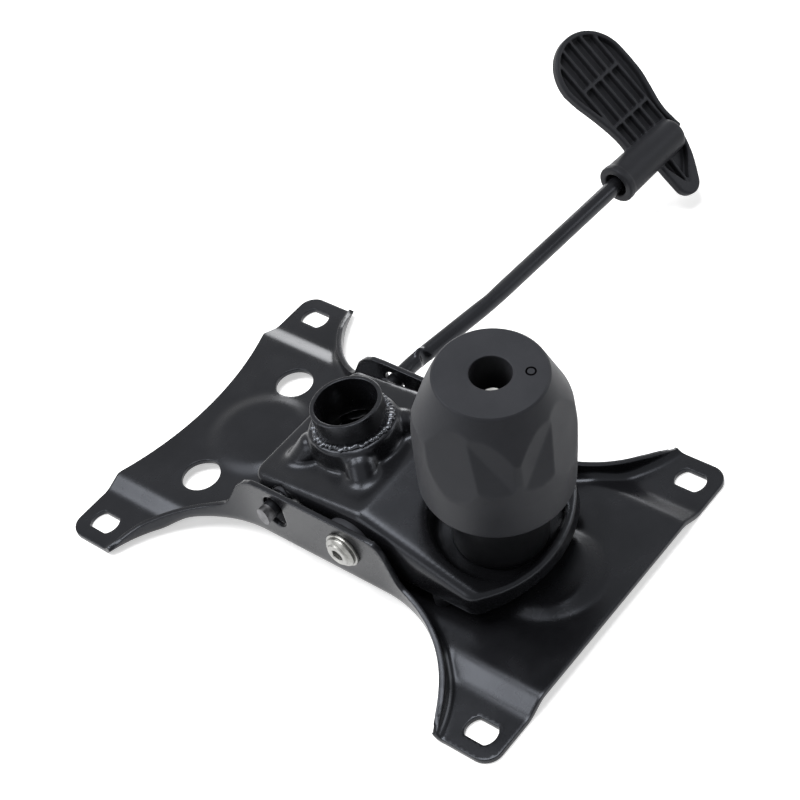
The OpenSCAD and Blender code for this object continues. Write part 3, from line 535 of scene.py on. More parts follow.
def makePlate():
    p = plate
    loops = [evenLoop(plateOutline(), p["rimStep"])] + plateHoles()
    rim = [q for loop in loops for q in loop]
    seed = []
    g = p["grid"]
    for j, y in enumerate(np.arange(-p["halfY"], p["halfY"], g * 0.866)):
        seed += [(x + (g / 2 if j % 2 else 0), y) for x in np.arange(-p["halfX"], p["halfX"], g)]
    seed = np.array(seed)
    away = foldAway(seed[:, 0], seed[:, 1])[0]
    seed = seed[(away < p["foldClear"][0]) | (away > p["foldClear"][1])]
    rows = []
    turnFrom, turnTo = (radians(a) for a in p["rowTurn"])
    for s in np.arange(0, p["rows"], p["row"]):
        rho = p["foldRho"] - s
        for sx in (-1, 1):
            rows += [(sx * (p["waistX"] - rho), y) for y in np.arange(-p["waistY"], p["waistY"] + 0.1, p["station"])]
            for sy in (-1, 1):
                rows += [(sx * (p["waistX"] - rho * sin(a)), sy * (p["waistY"] + rho * cos(a)))
                         for a in np.arange(turnFrom, turnTo, p["station"] / p["foldRho"])]
    seed = np.concatenate([seed, np.array(rows)])
    tree = KDTree(len(rim))
    for i, q in enumerate(rim):
        tree.insert((*q, 0), i)
    tree.balance()
    clear = np.array([tree.find((*q, 0))[2] > p["rimClear"] for q in seed])
    edges, n = [], 0
    for loop in loops:
        edges += [(n + i, n + (i + 1) % len(loop)) for i in range(len(loop))]
        n += len(loop)
    flat = [Vector(q) for q in rim] + [Vector(q) for q in seed[onSheet(seed, loops) & clear]]
    verts, _, faces, *_ = delaunay_2d_cdt(flat, edges, [], 0, 1e-5)
    verts = np.array([tuple(v) for v in verts])
    faces = np.array([tuple(f) for f in faces])
    middle = verts[faces].mean(1)
    side1, side2 = (verts[faces[:, i]] - verts[faces[:, 0]] for i in (1, 2))
    area = np.abs(side1[:, 0] * side2[:, 1] - side1[:, 1] * side2[:, 0])
    good = onSheet(middle, loops) & (area > p["sliver"])  # no slivers along straight edges
    obj = newObject("seatPlate", foldUp(verts[:, 0], verts[:, 1]), faces[good].tolist(), paintedSteel)
    addModifier(obj, "wall", "SOLIDIFY", thickness=p["sheet"] * mm, offset=-1, use_even_offset=True)
    settle(obj)
    bevelEdges(obj, p["edge"], 55)
    return shade(obj, 50)


seatPlate = makePlate()
handOver(seatPlate, "seat_plate")
print("seat plate folded:", len(seatPlate.data.polygons), "faces")


def cadCopy(name, node):
    obj = addObject(name, nodes[node].data.copy())
    cleanMesh(obj, False, 2e-6)
    return obj


# tilt housing: the pressed shell, its creases drawn soft
housing = {"voxel": 0.8, "ease": 3, "press": 0.6, "soft": 26, "least": 0.25, "pivot": (-16.6, 26.0, 9.0),
           "rod": (23.0, 30.0, 8.0), "tube": 17.5, "lowEdge": 16.5, "rear": (33.0, 25.5), "wallX": 33.5,
           "brace": (18.0, -19.0), "braceR": 5.0, "swell": 2.4, "swellFrom": (-4.0, 5.0), "swellTo": (12.0, 8.0),
           "inner": -0.2, "run": 4.0, "tubeRun": 1.5}
socketBack = np.array(atSocket.inverted())


def socketLocal(points):
    return points @ socketBack[:3, :3].T + socketBack[:3, 3]


def softness(points):  # 1 where the press has rounded the sheet, 0 at holes and cut edges
    h = housing
    x, y, z = points.T
    rearY, rearZ = h["rear"]
    weight = ease((z - h["lowEdge"]) / h["run"])
    weight *= 1 - ease((y - rearY) / h["run"]) * (1 - ease((z - rearZ) / h["run"]))
    wall = np.abs(x) > h["wallX"]
    for cy, cz, r in (h["pivot"], h["rod"]):
        weight *= np.where(wall, ease((np.hypot(y - cy, z - cz) - r) / h["run"]), 1)
    local = socketLocal(points)
    return weight * ease((np.hypot(local[:, 0], local[:, 1]) - h["tube"]) / h["tubeRun"])


def braceSwell(points, normals):  # the four lugs at the boss are broader and flow into the deck
    h = housing
    local = socketLocal(points)
    upward = normals @ socketBack[2, :3] > h["inner"]  # the sheet's inner side stays
    (start, startRun), (end, endRun) = h["swellFrom"], h["swellTo"]
    most = np.zeros(len(points))
    for a in np.radians((45, 135, 225, 315)):
        out = local[:, 0] * cos(a) + local[:, 1] * sin(a) - h["brace"][0]
        side = local[:, 1] * cos(a) - local[:, 0] * sin(a)
        drop = local[:, 2] - h["brace"][1]
        along, across = (out - drop) * sqrt(0.5), (out + drop) * sqrt(0.5)
        near = 1 - ease((np.hypot(across, side) - h["braceR"]) / h["run"])
        most = np.maximum(most, near * ease((along - start) / startRun) * (1 - ease((along - end) / endRun)))
    return points + normals * (h["swell"] * most * upward)[:, None]


def makeHousing():
    h = housing
    obj = cadCopy("tiltHousing", "tilt_housing")
    melt(obj, h["voxel"], h["ease"])
    points = readPoints(obj)
    normals = np.empty(points.size)
    obj.data.vertex_normals.foreach_get("vector", normals)
    writePoints(obj, braceSwell(points, normals.reshape(-1, 3)))
    soft = obj.vertex_groups.new(name="soft")
    for i, w in enumerate(softness(points)):
        soft.add([i], float(h["least"] + (1 - h["least"]) * w), "REPLACE")
    addModifier(obj, "press", "SMOOTH", factor=h["press"], iterations=h["soft"], vertex_group="soft")
    settle(obj)
    obj.vertex_groups.clear()
    coat(obj, paintedSteel)
    return shade(obj, 180)


tiltHousing = makeHousing()
handOver(tiltHousing, "tilt_housing")
print("housing pressed:", len(tiltHousing.data.polygons), "faces")


# gas lift socket and its weld
socket = {"bore": 14.0, "outer": 16.0, "length": 19.0, "edge": 0.55, "weldAt": -11.2, "weldRing": 16.7, "lumps": 46,
          "lump": (1.3, 0.75, 0.9), "spread": 2.0, "voxel": 0.34, "ease": 2}
tubeProfile = roundCorners([(socket["outer"], -socket["length"]), (socket["outer"], 0.0), (socket["bore"], 0.0),
                            (socket["bore"], -socket["length"])], socket["edge"])
socketTube = latheObject("socketTube", tubeProfile, 128, paintedSteel, atSocket)
shade(socketTube)
handOver(socketTube, "gas_lift_socket")


def weldGroup():  # overlapping lumps round a circle, as a hand weld leaves them
    group, start = newGroup("weldLumps", Ring="Float", Lumps="Int", Smallest="Vector", Largest="Vector",
                            Finish="Material")
    circle = addNode(group, "GeometryNodeCurvePrimitiveCircle", [(start.outputs["Ring"], "Radius")])
    setInputs(circle, {"Resolution": 128})
    points = addNode(group, "GeometryNodeCurveToPoints", [(circle.outputs["Curve"], "Curve"),
                                                          (start.outputs["Lumps"], "Count")])
    lump = addNode(group, "GeometryNodeMeshIcoSphere")
    setInputs(lump, {"Radius": 1.0, "Subdivisions": 3})
    size = addNode(group, "FunctionNodeRandomValue", [(start.outputs["Smallest"], 0), (start.outputs["Largest"], 1)],
                   data_type="FLOAT_VECTOR")
    setInputs(size, {"Seed": 11})
    put = addNode(group, "GeometryNodeInstanceOnPoints", [(points.outputs["Points"], "Points"),
                                                          (lump.outputs["Mesh"], "Instance"),
                                                          (points.outputs["Rotation"], "Rotation"),
                                                          (size.outputs[0], "Scale")])
    endGroup(group, start, put.outputs["Instances"])
    return group


def makeWeld():
    s = socket
    obj = newObject("socketWeld", [], [], weldPaint)
    small = [v * mm for v in s["lump"]]
    runGroup(obj, weldGroup(), {"Ring": s["weldRing"] * mm, "Lumps": s["lumps"], "Smallest": small,
                                "Largest": [v * s["spread"] for v in small], "Finish": weldPaint})
    placePoints(obj, atSocket @ Matrix.Translation((0, 0, s["weldAt"])))
    melt(obj, s["voxel"], s["ease"])
    coat(obj, weldPaint)
    return shade(obj, 180)


socketWeld = makeWeld()
handOver(socketWeld, "socket_weld")
print("socket welded:", len(socketWeld.data.polygons), "faces")


# tension knob: a turned body with four wide flats; beside two of its ridges they run into pockets
knob = {"at": 47.7, "height": 64.3, "rim": 32.0, "lip": 2.6, "wide": 32.5, "band": (20.0, 34.0), "shoulder": 31.4,
        "shoulderAt": 44.5, "top": 22.5, "topEdge": 0.4, "ridge": 54.0, "gripAt": 33.0, "flat": (47.0, 30.3, 10.5),
        "pocket": (30.0, 29.0, 6.3), "slope": (16.0, 31.1, 17.0), "blend": 0.3, "hollow": 25.0, "hollowTop": 30.5,
        "hole": 8.35, "mark": (9.24, -12.06, 2.2, 0.7), "markHigh": (-0.1, 0.12), "around": 432, "up": 120}


def knobBody(z):  # turned outline without its facets
    k = knob
    low, high = k["band"]
    line = roundCorners([(k["rim"] - k["lip"], 0.0), (k["rim"], 2.0, 2.0), (k["wide"], low, 12),
                         (k["wide"], high, 12), (k["shoulder"], k["shoulderAt"], 5.0),
                         (k["top"] + k["topEdge"], k["height"] - 0.6, 0.7), (k["top"] - k["topEdge"], k["height"])],
                        1.0, 6, False)
    r, h = np.array(line).T
    return np.interp(z, h, r)


def softLeast(a, b, width):
    h = np.clip(0.5 + 0.5 * (b - a) / width, 0, 1)
    return b * (1 - h) + a * h - width * h * (1 - h)


def makeKnob():
    k = knob
    z = np.concatenate([np.linspace(0, 3, 8),  # closer rows at both edges
                        np.linspace(3.6, k["height"] - 1.4, k["up"]),
                        np.linspace(k["height"] - 1.1, k["height"], 7)])
    turn = np.arange(k["around"]) * 2 * pi / k["around"]
    a, h = np.meshgrid(turn, z, indexing="ij")
    r = knobBody(h)

    def cut(at, radius, lean):  # distance from the axis to a leaning plane
        off = np.cos(a - radians(at))
        return (radius - (h - k["gripAt"]) * tan(radians(lean))) / np.maximum(off, 0.2)

    for ridge in (k["ridge"], k["ridge"] + 180):
        for side in (-1, 1):
            flat, pocket, run = (cut(ridge + side * at, radius, lean)
                                 for at, radius, lean in (k["flat"], k["pocket"], k["slope"]))
            hollow = -softLeast(-pocket, -run, k["blend"])  # a pocket runs out on its slope
            r = softLeast(softLeast(r, flat, k["blend"]), hollow, k["blend"])
    outer = np.stack([r * np.cos(a), r * np.sin(a), h], 2)
    inner = roundCorners([(k["top"] - k["topEdge"], k["height"], 0), (k["hole"], k["height"], 0.5),
                          (k["hole"], k["hollowTop"], 0), (k["hollow"], k["hollowTop"], 2.0), (k["hollow"], 0.0, 0.6),
                          (k["rim"] - k["lip"], 0.0, 0)], 0, 5, False)
    spread = []
    for p, q in zip(inner[1:-1], inner[2:-1]):  # even spacing keeps long walls smooth
        spread += [p + (q - p) * t for t in np.linspace(0, 1, 2 if np.linalg.norm(q - p) < 3 else 6)[:-1]]
    spread.append(inner[-2])
    back = np.stack([np.stack([q[0] * np.cos(turn), q[0] * np.sin(turn), np.full_like(turn, q[1])], 1)
                     for q in spread], 1)
    grid = np.concatenate([outer, back], 1)
    faces = gridFaces(*grid.shape[:2])
    obj = newObject("tensionKnob", grid.reshape(-1, 3), faces, knobPlastic, onScrew(k["at"]))
    cleanMesh(obj)
    x, y, size, line = k["mark"]  # moulding mark on the top, coloured near-black as painted shade for its thin dark line
    low, high = k["markHigh"]
    outline = roundCorners([(size, low), (size, high), (size - line, high), (size - line, low)], 0.08)
    ring = latheObject("mark", outline, 32, markShadeBlack, onScrew(k["at"] + k["height"], x, y))
    ring.data.polygons.foreach_set("material_index", [1] * len(ring.data.polygons))
    obj.data.materials.append(markShadeBlack)
    joinInto(obj, ring)
    return shade(obj, 28)


tensionKnob = makeKnob()
handOver(tensionKnob, "tension_knob")
print("knob cut:", len(tensionKnob.data.polygons), "faces")


# spring cup, spring and screw
cup = {"at": 10.72, "height": 42.0, "outer": 20.5, "inner": 18.5, "floor": 2.0, "hole": 8.5}
cupProfile = roundCorners([(cup["hole"], 0.0, 0.4), (cup["outer"], 0.0, 1.6), (cup["outer"], cup["height"], 0.5),
                           (cup["inner"], cup["height"], 0.5), (cup["inner"], cup["floor"], 1.0),
                           (cup["hole"], cup["floor"], 0.4)], 0.5, 5)
springCup = latheObject("springCup", cupProfile, 144, cupPlastic, onScrew(cup["at"]))
shade(springCup)
handOver(springCup, "spring_cup")

spring = {"mean": 12.5, "wire": 2.3, "from": 15.2, "to": 72.5, "turns": 6.5, "steps": 40, "sides": 16}


def makeSpring():
    s = spring
    rings = int(s["turns"] * s["steps"])
    points = []
    for i in range(rings + 1):
        a = 2 * pi * i / s["steps"]
        z = s["from"] + (s["to"] - s["from"]) * i / rings
        for j in range(s["sides"]):
            b = 2 * pi * j / s["sides"]
            r = s["mean"] + s["wire"] * cos(b)
            points.append((r * cos(a), r * sin(a), z + s["wire"] * sin(b)))
    faces = gridFaces(rings + 1, s["sides"], False) + capFaces(rings + 1, s["sides"])
    obj = newObject("tensionSpring", points, faces, bareSteel, atScrew)
    cleanMesh(obj)
    return shade(obj, 60)


tensionSpring = makeSpring()
handOver(tensionSpring, "tension_spring")
screwAxis = atScrew.to_3x3() @ Vector((0, 0, 1))
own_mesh(tensionSpring)

screw = {"radius": 5.0, "depth": 0.62, "pitch": 2.0, "neck": 3.6, "from": 14.0, "runIn": 3.0, "to": 98.0,
         "taper": 0.12, "taperRun": 1.2, "sawn": 1.0, "around": 32, "perPitch": 8, "eye": 5.0, "eyeHalf": 5.0,
         "pin": 3.05}


def makeScrew():
    s = screw
    thread = np.arange(s["from"], s["to"], s["pitch"] / s["perPitch"])
    z = np.concatenate([np.linspace(s["neck"], s["from"], 10), thread, [s["to"]]])
    points = []
    n = s["around"]
    for h in z:
        for i in range(n):
            wave = abs(((h / s["pitch"] - i / n) % 1) * 2 - 1)  # 60 degree thread, near enough
            cutIn = s["depth"] * (1 - wave) * ease((h - s["from"]) / s["runIn"])
            r = (s["radius"] - cutIn) * (1 - s["taper"] * ease((h - s["to"] + s["taperRun"]) / s["taperRun"]))
            points.append((r * cos(2 * pi * i / n), r * sin(2 * pi * i / n), h))
    faces = gridFaces(len(z), n, False) + capFaces(len(z), n)
    obj = newObject("tensionScrew", points, faces, zincPlate, atScrew)
    cleanMesh(obj)
    eye = roundCorners([(s["pin"], -s["eyeHalf"]), (s["eye"], -s["eyeHalf"]), (s["eye"], s["eyeHalf"]),
                        (s["pin"], s["eyeHalf"])], 0.5)
    ring = latheObject("screwEye", eye, 48, zincPlate, atScrew @ Matrix.Rotation(radians(90), 4, "Y"))
    joinInto(obj, ring)
    obj.data.materials.append(glintSteel)
    glintFrom = (atScrew @ Vector((0, 0, s["to"] - s["sawn"]))).dot(screwAxis) * mm
    for face in obj.data.polygons:
        if face.center.dot(screwAxis) > glintFrom:
            face.material_index = 1  # lighter steel: a painted highlight for the glint down the knob's hole
    return shade(obj, 30)


tensionScrew = makeScrew()
handOver(tensionScrew, "tension_screw")
print("spring, cup and screw made")


# lever rod: a bar bent twice, pinched into a stop beside the ear
rod = {"radius": 4.0, "y": 23.0, "z": 30.0, "from": -50.0, "bendAt": 50.5, "bendA": 8.4, "bendB": 5.1, "bendR": 40.0,
       "mid": 46.0, "out": 92.0, "inSleeve": 43.0, "pinchAt": 2.5, "pinchRun": 2.2, "pinchWide": 0.44,
       "pinchThin": 0.42, "dent": 0.07, "dentRun": 5.0, "bare": 4.0, "step": 0.8, "flare": 0.2, "flareRun": 6.0}


def rodCorners():
    r = rod
    a, b = radians(r["bendA"]), radians(r["bendB"])
    ta, tb = r["bendR"] * tan(a / 2), r["bendR"] * tan(b / 2)
    along1, along2 = np.array((cos(a), -sin(a))), np.array((cos(a - b), -sin(a - b)))
    first = np.array((r["bendAt"] + ta, 0.0))
    second = first + along1 * (ta + r["mid"] + tb)
    sleeveAt = second + along2 * (tb + r["out"])
    corners = (np.array((r["from"], 0.0)), first, second, sleeveAt + along2 * r["inSleeve"])
    return corners, sleeveAt, first + along1 * ta


def rodGroup():
    group, start = newGroup("bentBar", Bar="Float", Bend="Float", Step="Float", Finish="Material")
    path = addNode(group, "GeometryNodeMeshToCurve", [(start.outputs["Geometry"], "Mesh")])
    bent = addNode(group, "GeometryNodeFilletCurve", [(path.outputs["Curve"], "Curve"),
                                                      (start.outputs["Bend"], "Radius")], mode="POLY")
    setInputs(bent, {"Count": 24})
    even = addNode(group, "GeometryNodeResampleCurve", [(bent.outputs["Curve"], "Curve"),
                                                        (start.outputs["Step"], "Length")], mode="LENGTH")
    ring = addNode(group, "GeometryNodeCurvePrimitiveCircle", [(start.outputs["Bar"], "Radius")])
    setInputs(ring, {"Resolution": 32})
    endGroup(group, start, sweep(group, even, ring))
    return group


def makeRod():
    r = rod
    corners, sleeveAt, pinchFrom = rodCorners()
    obj = newWire("leverRod", [(x, y + r["y"], r["z"]) for x, y in corners], [(0, 1), (1, 2), (2, 3)])
    runGroup(obj, rodGroup(), {"Bar": r["radius"] * mm, "Bend": r["bendR"] * mm, "Step": r["step"] * mm,
                               "Finish": paintedSteel})
    cleanMesh(obj)
    points = readPoints(obj)
    line = np.array(corners) + (0, r["y"])
    a = radians(r["bendA"])
    pinch = pinchFrom + np.array((0, r["y"])) + r["pinchAt"] * np.array((cos(a), -sin(a)))
    axisY = np.interp(points[:, 0], line[:, 0], line[:, 1])
    far = (points[:, 0] - pinch[0]) / r["pinchRun"]
    press = np.exp(-np.abs(far) ** 3)
    side, height = points[:, 1] - axisY, points[:, 2] - r["z"]
    dent = sum(np.exp(-((points[:, 0] - corners[i][0]) / r["dentRun"]) ** 2) for i in (1, 2)) * r["dent"]
    flare = r["flare"] * ease((r["from"] + r["flareRun"] - points[:, 0]) / r["flareRun"]) ** 2
    points[:, 1] = axisY + side * (1 - press * (1 - r["pinchThin"])) * (1 - dent) * (1 - flare)
    points[:, 2] = r["z"] + height * (1 + press * r["pinchWide"]) * (1 + flare)
    writePoints(obj, points)
    obj.data.materials.append(wornSteel)
    for face in obj.data.polygons:
        if face.center.x < (r["from"] + r["bare"]) * mm:
            face.material_index = 1  # the end was left bare
    shade(obj, 40)
    return obj, sleeveAt


leverRod, sleeveAt = makeRod()
handOver(leverRod, "lever_rod")
atSleeve = (Matrix.Translation((sleeveAt[0], sleeveAt[1] + rod["y"], rod["z"]))
            @ Matrix.Rotation(radians(rod["bendB"] - rod["bendA"]), 4, "Z"))
print("rod bent:", len(leverRod.data.polygons), "faces")


# lever handle: a sleeve with a ribbed blade above and a short tail below
handle = {"length": 47.0, "sleeve": (9.3, 8.5), "collar": 9.7, "collarEnd": (3.2, 4.4), "mouth": 6.0,
          "mouthDeep": 7.0, "bore": 4.03, "boreEnd": 43.0, "back": 15.0, "thick": 5.0, "web": 1.3, "rim": 2.4,
          "edge": 0.8, "ribWidth": 1.5, "ribHeight": 3.4, "ribFrom": 4.0, "ribInto": 0.6, "ribSink": 0.2,
          "ribWider": 0.3, "bladeSlope": 44.0, "tailSlope": 48.0, "crossAt": (21.0, 43.5), "voxel": 0.45,
          "ease": 3, "sideSteps": 44, "sideSoft": 6, "arcSteps": 34,
          "bladeRight": [(0, 19.5), (4, 19.3), (8, 18.6), (12, 18.4), (16, 18.8), (23, 20.5), (32, 22.5), (41, 22.8),
                         (47.5, 22.5)],
          "bladeLeft": [(0, 14.5), (6, 14.2), (10, 13.8), (15, 13.8), (21, 14.6), (31, 16.8), (40, 19.4),
                        (47.5, 20.5)],
          "bladeEnd": (1.0, 47.5, 21.5), "bladeRibs": 5,
          "tailRight": [(0, 17.8), (7, 16.9), (14, 14.6), (20, 11.6), (25.4, 8.4)],
          "tailLeft": [(0, 6.2), (7, 6.2), (14, 5.8), (22, 5.2)], "tailEnd": (2.0, 22.0, 7.2), "tailRibs": 1,
          "tailFill": 3.8, "fillFrom": 8.0, "fillRun": 18.0}


def leafSide(table):
    v, w = np.array(table, float).T
    fine = np.linspace(v[0], v[-1], handle["sideSteps"])
    half = np.interp(fine, v, w)
    for _ in range(handle["sideSoft"]):
        half[1:-1] = (half[:-2] + 2 * half[1:-1] + half[2:]) / 4
    return np.stack([half, fine], 1)


def leafOutline(leaf):  # one side, the round end, then the other side
    x, y, r = handle[leaf + "End"]
    right, left = leafSide(handle[leaf + "Right"]), leafSide(handle[leaf + "Left"])[::-1] * (-1, 1)
    first, last = (np.arctan2(q[1] - y, q[0] - x) for q in (right[-1], left[0]))
    arc = np.linspace(first, last, handle["arcSteps"])[1:-1]
    end = np.stack([x + r * np.cos(arc), y + r * np.sin(arc)], 1)
    return np.concatenate([right, end, left])


def drawIn(loop, inset):
    ahead, behind = np.roll(loop, -1, 0), np.roll(loop, 1, 0)
    along = (ahead - behind) / np.linalg.norm(ahead - behind, axis=1)[:, None]
    return loop + np.reshape(inset, (-1, 1)) * np.stack([-along[:, 1], along[:, 0]], 1)


def makeLeaf(leaf, down, place):  # a tray: flat back, rim in front, sunk floor
    h = handle
    loop = leafOutline(leaf)
    low, high, e = -h["thick"] / 2, h["thick"] / 2, h["edge"]
    floor = low + h["web"]
    rim = h["rim"]
    if down:
        rim = rim + h["tailFill"] * ease((loop[:, 1] - h["fillFrom"]) / h["fillRun"])  # the tip is nearly solid
    levels = [(e, low), (e * 0.3, low + e * 0.3), (0, low + e), (0, high - e), (e * 0.3, high - e * 0.3), (e, high),
              (rim - e * 0.4, high), (rim, high - e * 0.4), (rim, floor + 0.6), (rim + 0.6, floor)]
    points = np.concatenate([np.column_stack([drawIn(loop, inset), np.full(len(loop), z)]) for inset, z in levels])
    faces = gridFaces(len(levels), len(loop), False) + capFaces(len(levels), len(loop))
    if down:
        points = points * (1, -1, 1)
    obj = newObject("leaf", points, faces, handlePlastic, place)
    cleanMesh(obj)
    return obj


def ribGroup():
    group, start = newGroup("ribs", Width="Float", Height="Float", Finish="Material")
    path = addNode(group, "GeometryNodeMeshToCurve", [(start.outputs["Geometry"], "Mesh")])
    level = addNode(group, "GeometryNodeSetCurveNormal", [(path.outputs["Curve"], "Curve")], mode="Z_UP")
    shape = addNode(group, "GeometryNodeCurvePrimitiveQuadrilateral", [(start.outputs["Width"], "Width"),
                                                                       (start.outputs["Height"], "Height")])
    endGroup(group, start, sweep(group, level, shape))
    return group


ribTree = ribGroup()


def makeRibs(leaf, cross, down, place):
    h = handle
    endX, endY, r = h[leaf + "End"]
    count, inner = h[leaf + "Ribs"], r - h["rim"] + h["ribInto"]
    z = -h["thick"] / 2 + h["web"] - h["ribSink"] + h["ribHeight"] / 2
    lines = []
    for i in range(count):
        x = (2 * (i + 1) / (count + 1) - 1) * (inner + h["ribWider"])
        lines.append(((endX + x, h["ribFrom"]), (endX + x, endY + sqrt(max(inner ** 2 - x ** 2, 1)))))
    half = (count - 1) / (count + 1) * (inner + h["ribWider"])
    lines += [((endX - half, at), (endX + half, at)) for at in cross]
    flip = -1 if down else 1
    points = [(x, y * flip, z) for line in lines for x, y in line]
    obj = newWire("ribs", points, [(2 * i, 2 * i + 1) for i in range(len(lines))])
    runGroup(obj, ribTree, {"Width": h["ribWidth"] * mm, "Height": h["ribHeight"] * mm, "Finish": handlePlastic})
    placePoints(obj, place)
    cleanMesh(obj)
    return obj


def makeHandle():
    h = handle
    wide, narrow = h["sleeve"]
    ringEnd, sleeveFrom = h["collarEnd"]
    outline = roundCorners([(h["mouth"], 0.0, 0.5), (h["collar"], 0.0, 0.8), (h["collar"], ringEnd, 0.5),
                            (wide, sleeveFrom, 0.6), (narrow, h["length"], 4.5), (0.0, h["length"], 0),
                            (0.0, h["boreEnd"], 0), (h["bore"], h["boreEnd"], 0.3), (h["bore"], h["mouthDeep"], 0.3),
                            (h["mouth"], h["mouthDeep"], 0.5)], 0.5, 6)
    along = atSleeve @ Matrix.Rotation(radians(90), 4, "Y")
    obj = latheObject("leverHandle", outline, 96, handlePlastic, along)
    shift = Matrix.Translation((h["length"] - h["back"], 0, 0))
    blade = atSleeve @ shift @ Matrix.Rotation(radians(h["bladeSlope"]), 4, "X")
    tail = atSleeve @ shift @ Matrix.Rotation(radians(h["tailSlope"]), 4, "X")
    parts = [makeLeaf("blade", False, blade), makeLeaf("tail", True, tail),
             makeRibs("blade", h["crossAt"], False, blade), makeRibs("tail", (), True, tail)]
    joinInto(obj, *parts)
    melt(obj, h["voxel"], h["ease"])
    coat(obj, handlePlastic)
    return shade(obj, 180)


leverHandle = makeHandle()
handOver(leverHandle, "lever_handle")
print("handle moulded:", len(leverHandle.data.polygons), "faces")


# pivot bolt with a ringed head and a hexagon socket
bolt = {"ear": 43.5, "washer": 1.5, "head": 3.2, "headR": 7.5, "flange": 1.3, "ringR": 5.6, "ringHigh": 0.9,
        "socket": 2.6, "deep": 2.0, "shaft": 4.97, "end": 53.0, "chamfer": (1.0, 1.2), "around": 96}


def makeBolt():
    b = bolt
    under = -b["ear"] - b["washer"]
    front = under - b["head"]
    step = front + b["ringHigh"]
    turned = roundCorners([(b["shaft"], under, 0), (b["headR"], under, 0.3), (b["headR"], under - b["flange"], 0.5),
                           (b["ringR"] + 0.5, step, 0.3), (b["ringR"], step, 0.2), (b["ringR"] - 0.5, front, 0.5),
                           (b["socket"] + 0.5, front, 0.2)], 0.3, 4, False)
    outline = [(r, z, 0) for r, z in turned]
    outline += [(b["socket"], front + 0.3, 1), (b["socket"], front + b["deep"], 1), (0, front + b["deep"] + 0.5, 1)]
    inward, back = b["chamfer"]
    outline = [(0, b["end"], 0), (b["shaft"] - inward, b["end"], 0), (b["shaft"], b["end"] - back, 0)] + outline
    points = []
    for i in range(b["around"]):
        a = 2 * pi * i / b["around"]
        hexed = 1 / cos(a % (pi / 3) - pi / 6)
        for r, z, six in outline:
            points.append((r * (hexed if six else 1) * cos(a), r * (hexed if six else 1) * sin(a), z))
    obj = newObject("pivotBolt", points, gridFaces(b["around"], len(outline), closed=False), zincPlate, atPivot)
    cleanMesh(obj)
    return shade(obj, 30)


pivotBolt = makeBolt()
handOver(pivotBolt, "pivot_bolt")


def camel(node):
    first, *rest = node.split("_")
    return first + "".join(word.title() for word in rest)


# rubber buffers with domed tops, as shares of their height and radius
buffer = {"side": 0.75, "dome": 0.7, "around": 64}


def makeBuffers(node):
    low, high = (np.array(v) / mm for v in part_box(node))
    r, top = (high[1] - low[1]) / 2, high[2] - low[2]
    outline = roundCorners([(0, 0, 0), (r, 0, 0.3), (r, top * buffer["side"], 0.8), (r * buffer["dome"], top, 1.5),
                            (0, top, 0)], 0.5, 5, False)
    places = [Matrix.Translation((x, low[1] + r, low[2])) for x in (low[0] + r, high[0] - r)]
    pair = [latheObject(camel(node), outline, buffer["around"], rubber, place, False) for place in places]
    joinInto(*pair)
    shade(pair[0])
    handOver(pair[0], node)


makeBuffers("front_buffers")
makeBuffers("rear_buffers")

# the small turned and cut pieces keep their shape and get broken edges
brokenEdges = {"pivot_washers": (0.2, zincPlate), "pivot_nut": (0.3, zincPlate), "friction_discs": (0.35, nylon),
               "pivot_spacer": (0.3, bareSteel), "pivot_bushes": (0.2, nylon), "rod_bushes": (0.2, nylon),
               "screw_bracket": (0.35, paintedSteel), "cross_pin": (0.25, zincPlate),
               "thrust_washer": (0.3, zincPlate), "knob_nut": (0.3, zincPlate), "lock_collar": (0.3, nylon),
               "rod_pins": (0.2, zincPlate), "release_tongue": (0.35, bareSteel)}
for node, (width, finish) in brokenEdges.items():
    obj = cadCopy(camel(node), node)
    bm = bmesh.new()
    bm.from_mesh(obj.data)
    bmesh.ops.dissolve_limit(bm, angle_limit=radians(1.0), verts=bm.verts, edges=bm.edges)
    bm.to_mesh(obj.data)
    bm.free()
    coat(obj, finish)
    bevelEdges(obj, width)
    shade(obj, 30)
    handOver(obj, node)
print("small pieces finished")


# white surroundings, soft boxes
studio = {"ambient": 0.24, "white": 1.0, "floorLift": (0.5, 1.0), "floorRun": (0.6, 1.8), "floorHalf": 3000.0,
          "floorAt": -0.2}


def plainSight(tree):  # 1 for rays that show the background: seen, mirrored or passed through
    path = tree.nodes.new("ShaderNodeLightPath")
    value = path.outputs["Is Camera Ray"]
    for name in ("Is Glossy Ray", "Is Transmission Ray"):
        most = addNode(tree, "ShaderNodeMath", [(value, 0), (path.outputs[name], 1)], operation="MAXIMUM")
        value = most.outputs[0]
    return value


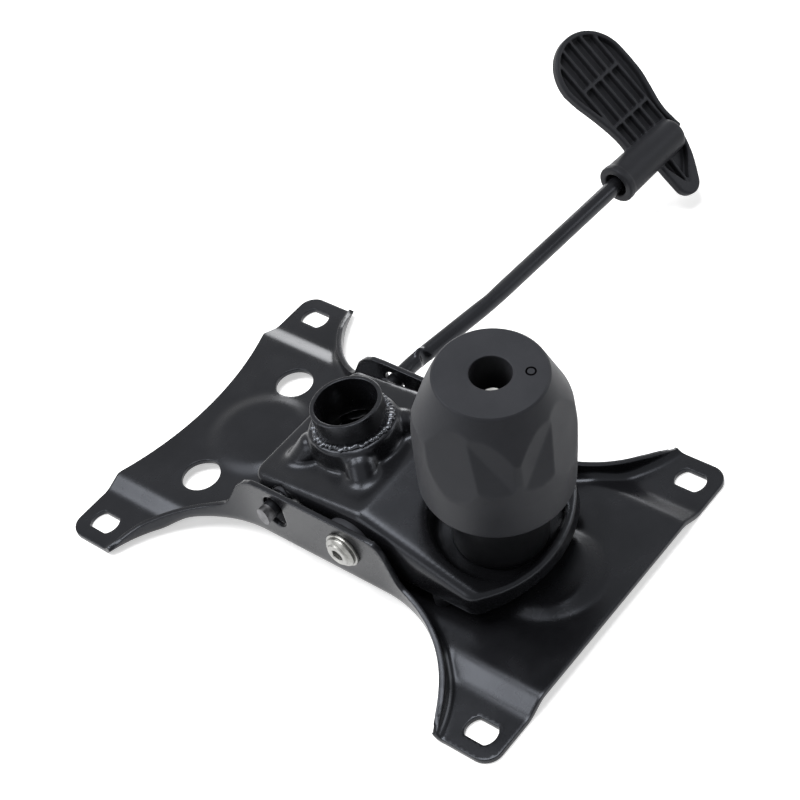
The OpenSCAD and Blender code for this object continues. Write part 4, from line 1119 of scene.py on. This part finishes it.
def makeStudio(s):
    world = bpy.data.worlds.new("studioWorld")
    bpy.context.scene.world = world
    world.use_nodes = True
    tree = world.node_tree
    tree.nodes.clear()
    mix = addNode(tree, "ShaderNodeMixShader", [(plainSight(tree), "Fac")])
    for i, strength in ((1, s["ambient"]), (2, s["white"])):
        sky = tree.nodes.new("ShaderNodeBackground")
        setInputs(sky, {"Strength": strength})
        tree.links.new(sky.outputs[0], mix.inputs[i])
    addNode(tree, "ShaderNodeOutputWorld", [(mix.outputs[0], "Surface")])


makeStudio(studio)

softBoxes = [  # name, place and aim in metres, size, watts
    ("rearBox", (-0.45, 0.7, 1.1), (0.0, 0.0, 0.0), 0.6, 12),
    ("topBox", (0.1, 0.15, 1.35), (0.0, 0.0, 0.05), 0.6, 14),
    ("farBox", (1.25, 0.85, 0.3), (0.0, 0.0, 0.05), 0.6, 7),
    ("leftBox", (-1.2, 0.35, 0.55), (0.0, 0.0, 0.05), 0.6, 3.5),
    ("rightBox", (1.0, -0.7, 0.5), (0.05, 0.0, 0.05), 0.5, 4),
]
for name, place, aim, size, power in softBoxes:
    data = bpy.data.lights.new(name, "AREA")
    data.shape = "SQUARE"
    data.size = size
    data.energy = power
    lamp = addObject(name, data)
    lamp.location = place
    lamp.rotation_euler = (Vector(aim) - Vector(place)).to_track_quat("-Z", "Y").to_euler()
bpy.context.scene.view_settings.view_transform = "Standard"

floorMat, floorTree, floorShader, floorCoords = newFinish("floorWhite", (0.9, 0.9, 0.9), 0.9, 0.0, 0.1)
floorFar = addNode(floorTree, "ShaderNodeVectorMath", [(floorCoords, 0)], operation="LENGTH")
floorLift = rangeNode(floorTree, floorFar.outputs["Value"], *studio["floorRun"], *studio["floorLift"])
floorSeen = [(plainSight(floorTree), 0), (floorLift, 1)]  # lifted further out, where the lamps don't reach
floorGlow = addNode(floorTree, "ShaderNodeMath", floorSeen, operation="MULTIPLY")
setInputs(floorShader, {"Emission Color": (1, 1, 1, 1)})
floorTree.links.new(floorGlow.outputs[0], floorShader.inputs["Emission Strength"])
half, level = studio["floorHalf"], studio["floorAt"]
floor = newObject("floor", [(-half, -half, level), (half, -half, level), (half, half, level), (-half, half, level)],
                  [(0, 1, 2, 3)], floorMat)
print("camera, lamps and floor placed")
